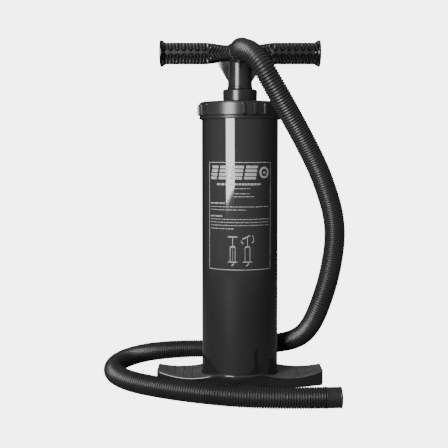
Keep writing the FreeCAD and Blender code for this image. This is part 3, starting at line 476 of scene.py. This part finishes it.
END_START = np.array((106.3, -130.48, 14.6))
END_AXIS = np.array((0.99839, 0.05673, 0.0))


def make_end_cuff():
    """The plain socket on the hose's free end."""
    side = np.array((END_AXIS[1], -END_AXIS[0], 0.0))
    axes = (side, (0.0, 0.0, 1.0), END_AXIS)
    outline = [
        (9.5, 0.6, 0.0),
        (13.9, 0.0, 0.5),
        (13.9, 1.6, 0.4),
        (13.3, 2.2, 0.6),
        (13.3, 16.6, 0.5),
        (12.8, 17.4, 0.3),
        (13.5, 18.2, 0.4),
        (13.8, 20.4, 0.5),
        (9.9, 20.4, 0.4),
        (9.5, 19.6, 0.2),
    ]
    part = turned(outline, axes, END_START, 96)
    return piece("hose_end_socket", part, "sleeve", "pump_body", ("hose_end_cuff",))


hose = make_hose()
hose.visible_glossy = False  # keeps a long dark streak, the hose's mirror image, off the barrel's side
hose_sleeve = make_hose_sleeve()
hose_end = make_end_cuff()
[tuple(point) for point in hose_path.points[::RINGS_A_PITCH]]


# ------------------------------------------------------------- barrel, cap
def make_barrel():
    """The glossy tube; extra rings at 6 and 371 mm keep the shading of its long wall upright."""
    wall, thread, bore = BARREL_RADIUS, 54.4, 50.0
    outline = [(0.0, 4.0, 0.0), (wall, 4.0, 0.6), (wall, 6.0, 0.0), (wall, 371.0, 0.0)]
    for low in (372.0, 376.5, 381.0):
        outline += [(wall, low, 0.2), (thread, low + 0.6, 0.3)]
        outline += [(thread, low + 1.4, 0.3), (wall, low + 2.0, 0.2)]
    outline += [(wall, 385.0, 0.4), (bore, 385.0, 0.4), (bore, 8.0, 1.5), (0.0, 8.0, 0.0)]
    part = turned(outline, segments=256, closed=False)
    return piece("pump_barrel", part, "gloss", "pump_body", ("barrel",))


RIB_ANGLES = [-85.3, -69.9, -54.5]
RIB_CREST = 59.7
SKIRT_LOW, SKIRT_HIGH = 375.5, 389.9


def make_cap():
    """The screwed cap: a turned shell whose skirt carries twelve upright ribs in four groups."""
    half_width, middle_radius = 1.8, 58.2
    half = math.degrees(half_width / middle_radius)
    ramp = 0.55
    ribs = [angle + 90.0 * quarter for quarter in range(4) for angle in RIB_ANGLES]
    angles = set(np.arange(0.0, 360.0, 2.0))
    for rib in ribs:
        for offset in np.linspace(-half - ramp, half + ramp, 15):
            angles.add(round((rib + offset) % 360.0, 4))
    angles = np.array(sorted(angles))

    def raised(angle):
        best = 0.0
        for rib in ribs:
            away = abs((angle - rib + 180.0) % 360.0 - 180.0)
            best = max(best, min(1.0, max(0.0, (half + ramp - away) / (2 * ramp))))
        return best * best * (3 - 2 * best)

    lift = np.array([raised(angle) for angle in angles])
    outline = [
        (54.6, 370.5, 0.3),
        (56.4, 370.5, 0.6),
        (56.8, 373.8, 0.5),
        (55.9, 374.9, 0.4),
        (56.9, 375.8, 0.5),
        (57.2, 391.0, 0.8),
        (56.2, 393.5, 1.0),
        (53.6, 394.4, 1.4),
        (24.8, 394.4, 0.5),
        (24.8, 393.2, 0.3),
        (17.2, 393.2, 0.3),
        (17.2, 390.0, 0.3),
        (54.6, 390.0, 0.5),
    ]
    profile = np.array(softened(outline))
    rings = []
    for radius, height in refined(profile, 1.2):
        strength = 0.0
        if radius > 55.5 and height > SKIRT_LOW:
            rise = min(1.0, (height - SKIRT_LOW) / 0.7)
            fall = min(1.0, max(0.0, (SKIRT_HIGH + 0.6 - height) / 0.9))
            strength = rise * fall
        grown = radius + (RIB_CREST - radius) * lift * strength
        turn = np.radians(angles)
        rings.append(np.stack([grown * np.cos(turn), grown * np.sin(turn), np.full_like(turn, height)], 1))
    part = grid(rings, wrap_rows=True)
    return piece("screw_cap_shell", part, "cap", "pump_body", ("screw_cap",), crease=40.0)


def refined(profile, step):
    """A closed profile with extra points along the cap's outer wall."""
    outer_wall = 55.0
    result = []
    count = len(profile)
    for i in range(count):
        a, b = profile[i], profile[(i + 1) % count]
        result.append(tuple(a))
        gap = math.hypot(*(b - a))
        if gap > step and min(a[0], b[0]) > outer_wall:
            parts = int(gap / step)
            for k in range(1, parts + 1):
                t = k / (parts + 1)
                result.append(tuple(a * (1 - t) + b * t))
    return result


def make_collar():
    """The ring on the cap that the rod passes through."""
    outline = [
        (15.0, 394.2, 0.3),
        (23.4, 394.2, 0.3),
        (23.4, 395.8, 0.3),
        (23.7, 396.4, 0.4),
        (24.0, 409.6, 0.5),
        (23.2, 411.6, 0.9),
        (21.6, 412.0, 0.5),
        (15.6, 412.0, 0.5),
        (15.0, 411.2, 0.3),
    ]
    part = turned(outline, segments=160)
    return piece("gland_nut", part, "grip", "pump_body", ("gland_collar",))


make_barrel()
make_cap()
make_collar()


# ------------------------------------------------------------------- print
PRINT_RADIUS = BARREL_RADIUS + 0.06
PRINT_SUNK = 0.2
WORDS = [5, 3, 7, 2, 6, 4, 3, 8, 5, 2, 4, 6, 3, 5, 7, 4]
LETTER = 0.62
WORD_GAP = 1.1
LETTER_MIN = 0.6


def stroke(start, end, width):
    """A printed bar between two (around, height) places on the barrel, in millimetres."""
    a, b = np.array(start, float), np.array(end, float)
    along = b - a
    length = np.linalg.norm(along)
    along /= length
    across = np.array((-along[1], along[0])) * width / 2.0
    cuts = max(1, int(abs(b[0] - a[0]) / 2.0) + 1)
    rows = []
    for t in np.linspace(0.0, 1.0, cuts + 1):
        middle = a + along * length * t
        ring = []
        for flat, radius in (
            (middle + across, PRINT_RADIUS),
            (middle - across, PRINT_RADIUS),
            (middle - across, PRINT_RADIUS - PRINT_SUNK),
            (middle + across, PRINT_RADIUS - PRINT_SUNK),
        ):
            turn = flat[0] / BARREL_RADIUS - math.pi / 2.0
            ring.append((radius * math.cos(turn), radius * math.sin(turn), flat[1]))
        rows.append(ring)
    return capped(grid(rows), 4)


def outline_strokes(corners, width, closed=True):
    """Printed bars from each corner to the next."""
    pairs = list(zip(corners, corners[1:] + corners[:1] if closed else corners[1:]))
    return [stroke(a, b, width) for a, b in pairs]


def rule_strokes(left, right, height, thick, start):
    """A line of plain dashes that stands for a line of small print."""
    strokes, x, k = [], left, start
    while x < right - LETTER_MIN:
        length = min(LETTER * WORDS[k % len(WORDS)], right - x)
        strokes.append(stroke((x, height), (x + length, height), thick))
        x += length + WORD_GAP
        k += 1
    return strokes


def round_strokes(centre, radius, first, last, width, count):
    """A printed arc, as count short bars; first and last are its angles in degrees."""
    turns = np.radians(np.linspace(first, last, count + 1))
    places = [(centre[0] + radius * math.cos(t), centre[1] + radius * math.sin(t)) for t in turns]
    return outline_strokes(places, width, closed=False)


def pictogram(middle, turning):
    """A line drawing of a pump on its foot, with its crossbar level or turning."""
    parts = []
    if turning:
        parts.append(stroke((middle - 7.0, 208.2), (middle + 3.5, 213.2), 1.4))
        parts += round_strokes((middle, 208.0), 8.6, -20.0, 38.0, 0.7, 6)
        parts += round_strokes((middle, 208.0), 8.6, 190.0, 228.0, 0.7, 5)
        parts.append(stroke((middle + 6.2, 203.4), (middle + 9.2, 205.8), 1.3))
        parts.append(stroke((middle - 8.6, 204.4), (middle - 5.6, 202.4), 1.3))
    else:
        parts.append(stroke((middle - 6.6, 211.4), (middle + 6.6, 211.4), 1.3))
    parts.append(stroke((middle, 211.0), (middle, 199.0), 0.8))
    parts.append(stroke((middle - 3.2, 197.9), (middle + 3.2, 197.9), 1.6))
    left, right = middle - 3.4, middle + 3.4
    parts += outline_strokes([(left, 197.4), (left, 177.6), (right, 177.6), (right, 197.4)], 0.6)
    if not turning:
        for height in np.arange(179.4, 196.0, 2.2):
            parts.append(stroke((middle, height), (middle, height + 1.2), 0.6))
    parts.append(stroke((middle - 6.6, 177.2), (middle + 6.6, 177.2), 0.9))
    parts += round_strokes((middle - 2.6, 176.6), 4.4, -80.0, -10.0, 1.1, 6)
    return parts


def make_print():
    """The label: a thin frame, a plain abstract mark, dashes for its words and two pictograms."""
    parts = outline_strokes([(-48.2, 311.5), (46.4, 311.5), (46.4, 166.6), (-48.2, 166.6)], 0.85)
    for left, right in ((-44.5, -34.0), (-31.0, -17.5), (-14.5, 2.0), (5.0, 21.5)):
        slant = 2.4
        for height, share in ((305.4, 1.0), (300.4, 0.62), (295.4, 0.24), (290.6, -0.1)):
            parts.append(stroke((left + slant * share, height), (right + slant * share, height), 3.6))
    parts += round_strokes((34.4, 298.0), 6.6, 0.0, 360.0, 3.0, 28)
    parts.append(stroke((32.6, 298.0), (36.2, 298.0), 3.6))
    parts += rule_strokes(-34.0, 29.0, 282.2, 2.7, 2)
    parts += rule_strokes(-8.0, 12.5, 276.4, 0.9, 5)
    parts += rule_strokes(-9.0, 13.5, 269.6, 0.9, 1)
    parts += rule_strokes(-9.0, 19.0, 265.6, 0.9, 7)
    parts += rule_strokes(-44.5, -21.0, 256.6, 1.9, 0)
    parts += rule_strokes(-44.5, 43.0, 251.8, 0.85, 3)
    parts += rule_strokes(-44.5, 7.0, 247.7, 0.85, 9)
    parts += rule_strokes(-44.5, -25.5, 239.1, 1.9, 4)
    for k, height in enumerate((234.9, 230.8, 226.7)):
        parts += rule_strokes(-44.5, 43.0, height, 0.85, 2 + 5 * k)
    parts += rule_strokes(-44.5, -9.5, 222.2, 0.85, 6)
    parts += pictogram(-10.8, False)
    parts += pictogram(9.4, True)
    return piece("barrel_print", joined(*parts), "ink", "pump_body", crease=30.0)


make_print()


# ------------------------------------------------------------------ handle
GRIP_RADIUS = 15.0
WAIST_RADIUS = 11.7
WAIST_END, CONE_LENGTH = 21.5, 24.5
FLARE_START, FLARE_END, FLARE_RISE = 102.6, 108.6, 3.3
POCKET_PITCH = 9.3
POCKET_FIRST = 49.0 - 3 * POCKET_PITCH
POCKET_COUNT = 10
POCKET_ROOT, WAIST_POCKET_ROOT = 4.9, 1.5
WAIST_SLANT = 0.75
GROOVE_MIDDLE = 2.45
GROOVE_WALL = (0.9, 1.3)
GROOVE_FLOOR, WAIST_GROOVE_FLOOR = 7.0, 9.6
GROOVE_LEAST, GROOVE_MOST = 0.22, 6.0


def grip_radius(x):
    """The grip's radius x mm from the hub: a cone out of the waist, a plain length and the end flare."""
    body = WAIST_RADIUS + (GRIP_RADIUS - WAIST_RADIUS) * np.clip((x - WAIST_END) / CONE_LENGTH, 0.0, 1.0)
    return body + FLARE_RISE * smooth(x, FLARE_START, FLARE_END)


def groove_depth(x, front, height, radius):
    """How deep the grooves are cut, in millimetres: upright U shapes, slanted at the waist."""
    up = np.abs(height)
    waist = 1.0 - smooth(x, 40.0, 46.0)
    slanted = x - POCKET_FIRST + waist * WAIST_SLANT * up
    nearest = np.clip(np.round(slanted / POCKET_PITCH), 0, POCKET_COUNT - 1)
    across = np.abs(slanted - nearest * POCKET_PITCH)
    root = POCKET_ROOT + (WAIST_POCKET_ROOT - POCKET_ROOT) * waist
    reach = np.where(up > root, across, np.hypot(across, up - root))
    inside = 1.0 - smooth(np.abs(reach - GROOVE_MIDDLE), *GROOVE_WALL)
    floor = GROOVE_FLOOR + (WAIST_GROOVE_FLOOR - GROOVE_FLOOR) * waist
    full = radius - floor / np.maximum(front, 0.2)
    return np.clip(full, GROOVE_LEAST, GROOVE_MOST) * inside


def grip_stations():
    """Stations along a grip, close together where groove walls stand."""
    stations = set(np.arange(12.0, 46.0, 0.8)) | set(np.arange(102.0, 109.01, 0.5))
    for k in range(POCKET_COUNT):
        centre = POCKET_FIRST + k * POCKET_PITCH
        for first, last, step in ((-3.7, -1.2, 0.2), (-1.2, 1.3, 0.4), (1.3, 3.8, 0.2)):
            stations |= set(centre + np.arange(first, last, step))
    ordered = sorted(round(float(s), 3) for s in stations)
    kept = [ordered[0]]
    for station in ordered[1:]:
        if station - kept[-1] > 0.12:
            kept.append(station)
    return np.array([s for s in kept if s < 109.2])


def grip_angles():
    """Angles round a grip, close together on the front and the back where the grooves are."""
    dense = np.arange(-32.0, 32.01, 1.1)
    front = dense - 90.0
    back = dense + 90.0
    coarse = np.concatenate([np.arange(-56.0, 57.0, 3.0), np.arange(124.0, 237.0, 3.0)])
    every = np.concatenate([front, back, coarse]) % 360.0
    return np.radians(np.array(sorted(set(np.round(every, 3)))))


GRIP_END = [
    (18.3, 110.0),
    (18.1, 110.6),
    (17.6, 111.0),
    (15.5, 111.0),
    (14.9, 110.7),
    (14.5, 110.2),
    (8.0, 110.0),
    (2.0, 110.0),
]


def make_grip(side):
    """Half of the crossbar, with seven deep U-shaped pockets in each row and shallow ones at the waist."""
    angles = grip_angles()
    across, up = np.sin(angles), np.cos(angles)
    rings = []

    def ring(x, radius):
        rings.append(np.stack([np.full_like(angles, side * x), radius * across, HUB_HEIGHT + radius * up], 1))

    for x in grip_stations():
        radius = grip_radius(x)
        ring(x, radius - groove_depth(x, np.abs(across), radius * up, radius))
    for radius, x in GRIP_END:
        ring(x, radius)
    return capped(grid(rings), len(angles))


def make_web(side):
    """The gusset between the neck and a grip."""
    outline = [
        (14.0, 452.0),
        (14.0, 423.0),
        (16.7, 424.0),
        (19.2, 427.4),
        (21.7, 431.5),
        (24.1, 435.9),
        (26.6, 440.2),
        (29.2, 444.5),
        (30.8, 448.6),
        (31.0, 452.0),
    ]
    if side > 0:
        outline = outline[::-1]

    def place(a, b, h):
        return (side * a, h, b)

    return plate(outline, 3.5, 0.3, place)


def make_handle():
    """Neck, cross boss, two grips and two gussets in one moulding."""
    neck = turned(
        [
            (0.0, 424.0, 0.0),
            (14.2, 424.0, 0.0),
            (14.2, 412.8, 0.2),
            (15.0, 412.4, 0.3),
            (17.6, 412.4, 0.5),
            (17.6, 414.4, 0.7),
            (16.9, 416.4, 1.0),
            (16.2, 450.0, 3.0),
            (16.2, 475.0, 1.6),
            (0.0, 475.0, 0.0),
        ],
        segments=160,
        closed=False,
    )
    boss = turned(
        [
            (0.0, -20.0, 0.0),
            (9.6, -20.0, 0.0),
            (9.6, -34.0, 0.3),
            (15.5, -34.0, 0.5),
            (15.5, 34.0, 0.5),
            (9.5, 34.0, 0.3),
            (9.5, 24.0, 0.0),
            (8.5, 24.0, 0.0),
            (8.5, 16.6, 0.0),
            (0.0, 16.6, 0.0),
        ],
        "Y",
        (0.0, 0.0, HUB_HEIGHT),
        128,
        closed=False,
    )
    part = joined(neck, boss, make_grip(-1), make_grip(1), make_web(-1), make_web(1))
    return piece("pump_handle", part, "grip", "plunger", ("handle",), crease=50.0)


def make_port_ring(name, node, direction, bore):
    """The ring round a port of the hub; direction is -1 for the front and 1 for the back."""
    outline = [
        (bore, 34.0, 0.3),
        (15.5, 34.0, 0.3),
        (16.0, 34.6, 0.4),
        (16.0, 37.2, 0.6),
        (15.0, 38.0, 0.5),
        (bore + 0.6, 38.0, 0.5),
        (bore, 37.4, 0.2),
    ]
    outline = [(r, direction * h, c) for r, h, c in outline]
    part = turned(outline, "Y", (0.0, 0.0, HUB_HEIGHT), 128)
    return piece(name, part, "grip", "plunger", (node,))


make_handle()
make_port_ring("front_port_ring", "outlet_collar", -1.0, 14.1)
make_port_ring("back_port_ring", "intake_collar", 1.0, 9.6)


# -------------------------------------------------------------------- foot
FOOT_SAMPLES = 640
SOCKET_RADIUS = 56.1
RING_RADIUS = 54.2
RING_HEIGHT = 22.2
DIP_RADIUS, DIP_ACROSS, DIP_UP = 129.0, 75.0, 143.1
RIM = [(53.9, 0.1), (53.6, 0.4), (53.45, 0.9), (53.4, 8.0)]  # radius, and how far below the foot's top
EDGE_RADIUS = 1.1
TREAD_START = 40.0
RIB_PLACES = [68.0, 80.5, 93.0, 105.5]
BOW_RADIUS = 300.0
BOW_MIDDLE = 44.5
WING_END = 116.4


def wing_top(x):
    """Height of the foot's top along its length: level in the middle, with a shallow dip on each wing."""
    dip = DIP_UP - np.sqrt(DIP_RADIUS**2 - (np.abs(x) - DIP_ACROSS) ** 2)
    softness = 0.6
    return 0.5 * (dip + RING_HEIGHT - np.sqrt((dip - RING_HEIGHT) ** 2 + softness**2))


def foot_outline():
    """The foot seen from above: two bowed wings run smoothly into the round socket."""
    angles = np.linspace(0.0, TAU, 40001)[:-1]
    cosine, sine = np.abs(np.cos(angles)), np.abs(np.sin(angles))
    centre = BOW_RADIUS - BOW_MIDDLE
    bow = -centre * sine + np.sqrt(BOW_RADIUS**2 - (centre * cosine) ** 2)
    bow = np.minimum(bow, WING_END / np.maximum(cosine, 1e-6))
    softness, trim = 3.0, 0.225
    radius = 0.5 * (bow + SOCKET_RADIUS + np.sqrt((bow - SOCKET_RADIUS) ** 2 + softness**2)) - trim
    points = np.stack([radius * np.cos(angles), radius * np.sin(angles)], 1)
    points[:, 0] = np.clip(points[:, 0], -WING_END, WING_END)
    limit = SOCKET_RADIUS - 0.02
    points[:, 1] = np.clip(points[:, 1], -limit, limit)
    points = eased(points, 2.2)
    steps = np.linalg.norm(np.roll(points, -1, 0) - points, axis=1)
    travelled = np.concatenate([[0.0], np.cumsum(steps)])
    closed_points = np.concatenate([points, points[:1]])
    marks = np.linspace(0.0, travelled[-1], FOOT_SAMPLES + 1)[:-1]
    return np.stack([np.interp(marks, travelled, closed_points[:, k]) for k in range(2)], 1)


def eased(points, spread):
    """A closed line with its corners eased over a distance of about spread."""
    steps = np.linalg.norm(np.roll(points, -1, 0) - points, axis=1)
    travelled = np.concatenate([[0.0], np.cumsum(steps)])
    closed_points = np.concatenate([points, points[:1]])
    count = 8192
    marks = np.linspace(0.0, travelled[-1], count + 1)[:-1]
    even = np.stack([np.interp(marks, travelled, closed_points[:, k]) for k in range(2)], 1)
    waves = np.fft.fftfreq(count, d=travelled[-1] / count)
    keep = np.exp(-2.0 * (math.pi * waves * spread) ** 2)
    return np.stack([np.fft.ifft(np.fft.fft(even[:, k]) * keep).real for k in range(2)], 1)


def inward_normals(line):
    """Unit directions across a closed line, pointing to its inside."""
    tangent = np.roll(line, -1, 0) - np.roll(line, 1, 0)
    tangent /= np.linalg.norm(tangent, axis=1)[:, None]
    return np.stack([-tangent[:, 1], tangent[:, 0]], 1)


def make_foot():
    """The foot from its hollow underside, up and over its rounded edge, to the socket's rim."""
    outline = foot_outline()
    inward = inward_normals(outline)
    top = wing_top(outline[:, 0])
    rings = []

    def level(line, height):
        rings.append(np.concatenate([line, np.broadcast_to(height, (len(line),))[:, None]], 1))

    def ring_target(line):
        angle = np.arctan2(line[:, 1], line[:, 0])
        return np.stack([RING_RADIUS * np.cos(angle), RING_RADIUS * np.sin(angle)], 1)

    level(outline + inward * 5.0, 9.0)
    level(outline + inward * 3.6, 8.0)
    level(outline + inward * 3.4, 0.6)
    level(outline + inward * 3.0, 0.05)
    level(outline + inward * 0.9, 0.05)
    level(outline + inward * 0.25, 0.35)
    level(outline, 1.0)
    for share in np.linspace(0.0, 1.0, 8)[1:-1]:
        level(outline, 1.0 + (top - EDGE_RADIUS - 1.0) * share)
    for k in range(7):
        turn = math.radians(90.0 * k / 6)
        level(outline + inward * EDGE_RADIUS * (1 - math.cos(turn)), top - EDGE_RADIUS * (1 - math.sin(turn)))
    start = outline + inward * EDGE_RADIUS
    target = ring_target(start)
    for share in np.linspace(0.0, 1.0, 26)[1:]:
        line = start * (1 - share) + target * share
        level(line, wing_top(line[:, 0]))
    angle = np.arctan2(target[:, 1], target[:, 0])
    for radius, drop in RIM:
        circle = np.stack([radius * np.cos(angle), radius * np.sin(angle)], 1)
        level(circle, wing_top(circle[:, 0]) - drop)
    ribs = [make_rib(side * x) for x in RIB_PLACES for side in (-1, 1)]
    part = joined(capped(grid(rings), FOOT_SAMPLES), *ribs)
    made = piece("pump_foot", part, "gloss", "pump_body", ("foot_base",), crease=50.0)
    made.data.materials.append(LOOKS["tread"])
    for face in made.data.polygons:
        centre = face.center / MM
        outside = math.hypot(centre.x, centre.y) > RING_RADIUS + 0.5
        upper = centre.z > wing_top(np.array(centre.x)) - 0.35
        on_wing = abs(centre.x) > TREAD_START and outside and face.normal.z > 0.3
        if upper and (face.normal.z > 0.9 or on_wing):
            face.material_index = 1
    return made


def make_rib(x):
    """A low round rib across the top of a wing, for the shoe to grip."""
    half = wing_half_depth(x) - 1.2
    rows = []
    half_width = 1.25
    turns = np.radians(np.linspace(-90.0, 90.0, 7))
    for y in np.concatenate([[-half], np.linspace(-half + 1.0, half - 1.0, 15), [half]]):
        at_end = abs(y) > half - 0.5
        rise = 0.12 if at_end else 0.62
        top = float(wing_top(np.array(x))) - (0.5 if at_end else 0.0)
        ring = [(x + half_width * math.sin(t), y, top + rise * math.cos(t)) for t in turns]
        ring += [(x + half_width, y, top - 1.0), (x - half_width, y, top - 1.0)]
        rows.append(ring)
    return capped(grid(rows), len(turns) + 2)


def wing_half_depth(x):
    """Half the foot's depth, front to back, x mm from the middle."""
    return math.sqrt(BOW_RADIUS**2 - x**2) - (BOW_RADIUS - BOW_MIDDLE)


make_foot()

# ------------------------------------------------------------ carried over
CARRIED = {
    "satin": ["outer_rod", "rod_guide", "piston_manifold", "piston_skirt", "upper_piston_plate",
              "lower_piston_plate", "upper_valve_cage", "lower_valve_cage", "inner_tube", "outlet_duct",
              "intake_grille"],
    "rubber": ["floor_buffer", "cap_gasket", "stop_buffer", "rod_seal", "duct_sleeve", "upper_piston_ring",
               "lower_piston_ring", "upper_intake_valve", "lower_delivery_valve", "lower_intake_valve",
               "upper_delivery_valve"],
    "nylon": ["rod_bush"],
    "steel": ["foot_screws", "handle_screws", "piston_screws"],
}
for look, nodes in CARRIED.items():
    for node in nodes:
        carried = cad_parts[node]
        carried.data.materials.clear()
        carried.data.materials.append(LOOKS[look])


# ------------------------------------------------------------------ studio
def emission_material(name, strength):
    """A white glow of the given strength."""
    material = bpy.data.materials.new(name)
    material.use_nodes = True
    nodes = material.node_tree.nodes
    nodes.clear()
    glow = nodes.new("ShaderNodeEmission")
    glow.inputs["Color"].default_value = (1.0, 1.0, 1.0, 1.0)
    glow.inputs["Strength"].default_value = strength
    output = nodes.new("ShaderNodeOutputMaterial")
    material.node_tree.links.new(glow.outputs["Emission"], output.inputs["Surface"])
    return material


def stage_mesh(name, part, material, **shown):
    """A mesh of the studio; shown names the kinds of ray that see it or don't."""
    points, faces = part
    mesh = bpy.data.meshes.new(name)
    mesh.from_pydata((np.asarray(points, float) * MM).tolist(), [], faces)
    mesh.materials.append(material)
    made = bpy.data.objects.new(name, mesh)
    bpy.context.scene.collection.objects.link(made)
    for ray, seen in shown.items():
        setattr(made, "visible_" + ray, seen)
    return made


BACKGROUND = 5.2
ROOM_RADIUS = 9000.0
FLOOR_HALF = 3000.0
FLOOR_LEVEL = 0.1
FLOOR_FADE = (0.4, 1.6)
AIR_LEVEL = 1.15
OVERHEAD = 0.45
OVERHEAD_SLOPE = (0.15, 0.8)
# How bright the room is, by azimuth: 0 is where the camera stands, positive to the right.
AIR = [
    (-180.0, 0.01),
    (-150.0, 0.02),
    (-128.0, 0.12),
    (-108.0, 0.32),
    (-86.0, 0.6),
    (-58.0, 0.82),
    (-30.0, 0.84),
    (0.0, 0.77),
    (18.0, 0.66),
    (36.0, 0.6),
    (54.0, 0.5),
    (72.0, 0.33),
    (88.0, 0.23),
    (106.0, 0.14),
    (128.0, 0.06),
    (180.0, 0.01),
]


def bounce_material():
    """The floor as the object's undersides and reflections see it: it fades out away from the object."""
    material = bpy.data.materials.new("pale_floor")
    material.use_nodes = True
    tree = material.node_tree
    surface = tree.nodes["Principled BSDF"]
    surface.inputs["Base Color"].default_value = (FLOOR_LEVEL, FLOOR_LEVEL, FLOOR_LEVEL, 1.0)
    surface.inputs["Roughness"].default_value = 0.9
    reach = tree.nodes.new("ShaderNodeVectorMath")
    reach.operation = "LENGTH"
    tree.links.new(tree.nodes.new("ShaderNodeNewGeometry").outputs["Position"], reach.inputs[0])
    fade = tree.nodes.new("ShaderNodeMapRange")
    fade.interpolation_type = "SMOOTHSTEP"
    fade.inputs["From Min"].default_value = FLOOR_FADE[0]
    fade.inputs["From Max"].default_value = FLOOR_FADE[1]
    tree.links.new(reach.outputs["Value"], fade.inputs["Value"])
    blend = tree.nodes.new("ShaderNodeMixShader")
    tree.links.new(fade.outputs["Result"], blend.inputs["Fac"])
    tree.links.new(surface.outputs["BSDF"], blend.inputs[1])
    tree.links.new(tree.nodes.new("ShaderNodeBsdfTransparent").outputs["BSDF"], blend.inputs[2])
    tree.links.new(blend.outputs["Shader"], tree.nodes["Material Output"].inputs["Surface"])
    return material


def make_studio():
    """A pale backdrop and floor that only the camera sees, and the room's light that the object sees."""
    backdrop = emission_material("pale_studio", BACKGROUND)
    only_seen = dict(camera=True, diffuse=False, glossy=False, transmission=False, shadow=False)
    far = ROOM_RADIUS
    can = [(0.0, -far, 0.0), (far, -far, 0.0), (far, far, 0.0), (0.0, far, 0.0)]
    stage_mesh("backdrop", turned(can, segments=32, closed=False), backdrop, **only_seen)
    side = FLOOR_HALF
    corners = [(-side, -side, 0.0), (side, -side, 0.0), (side, side, 0.0), (-side, side, 0.0)]
    square = (corners, [(0, 1, 2, 3)])
    stage_mesh("floor", square, backdrop, **only_seen)
    stage_mesh("floor_bounce", square, bounce_material(), camera=False)
    make_air()


def make_air():
    """The world's light: the AIR table all round, and an even light from above."""
    world = bpy.data.worlds.new("studio_air")
    world.use_nodes = True
    tree = world.node_tree
    background = tree.nodes["Background"]
    where = tree.nodes.new("ShaderNodeTexCoord").outputs["Generated"]
    split = tree.nodes.new("ShaderNodeSeparateXYZ")
    tree.links.new(where, split.inputs["Vector"])

    def maths(operation, *values):
        node = tree.nodes.new("ShaderNodeMath")
        node.operation = operation
        for socket, value in zip(node.inputs, values):
            if isinstance(value, float):
                socket.default_value = value
            else:
                tree.links.new(value, socket)
        return node.outputs["Value"]

    towards = maths("ARCTAN2", split.outputs["X"], maths("MULTIPLY", split.outputs["Y"], -1.0))
    around = maths("MULTIPLY_ADD", towards, 1.0 / TAU, 0.5)
    ramp = tree.nodes.new("ShaderNodeValToRGB")
    ramp.color_ramp.interpolation = "EASE"
    while len(ramp.color_ramp.elements) < len(AIR):
        ramp.color_ramp.elements.new(0.5)
    for element, (azimuth, level) in zip(ramp.color_ramp.elements, AIR):
        element.position = azimuth / 360.0 + 0.5
        element.color = (level, level, level, 1.0)
    tree.links.new(around, ramp.inputs["Fac"])
    high = tree.nodes.new("ShaderNodeMapRange")
    high.interpolation_type = "SMOOTHSTEP"
    high.inputs["From Min"].default_value = OVERHEAD_SLOPE[0]
    high.inputs["From Max"].default_value = OVERHEAD_SLOPE[1]
    tree.links.new(split.outputs["Z"], high.inputs["Value"])
    overhead = maths("MULTIPLY", high.outputs["Result"], OVERHEAD)
    beside = maths("MULTIPLY", ramp.outputs["Color"], AIR_LEVEL)
    tree.links.new(maths("MAXIMUM", beside, overhead), background.inputs["Strength"])
    background.inputs["Color"].default_value = (1.0, 1.0, 1.0, 1.0)
    bpy.context.scene.world = world


def add_panel(name, azimuth, distance, height, size, power, roll):
    """An upright soft box facing the object; azimuth 0 is where the camera stands, positive to the right."""
    light = bpy.data.lights.new(name, "AREA")
    light.shape = "RECTANGLE"
    light.size, light.size_y = size
    light.energy = power
    made = bpy.data.objects.new(name, light)
    turn = math.radians(azimuth)
    made.location = (distance * math.sin(turn), -distance * math.cos(turn), height)
    facing = Vector((-made.location.x, -made.location.y, 0.0))
    made.rotation_euler = facing.to_track_quat("-Z", "Y").to_euler()
    made.rotation_euler.rotate_axis("Z", math.radians(roll))
    bpy.context.scene.collection.objects.link(made)


make_studio()
add_panel("key_strip", -31.4, 1.2, 0.79, (0.535, 1.17), 66.0, roll=5.0)
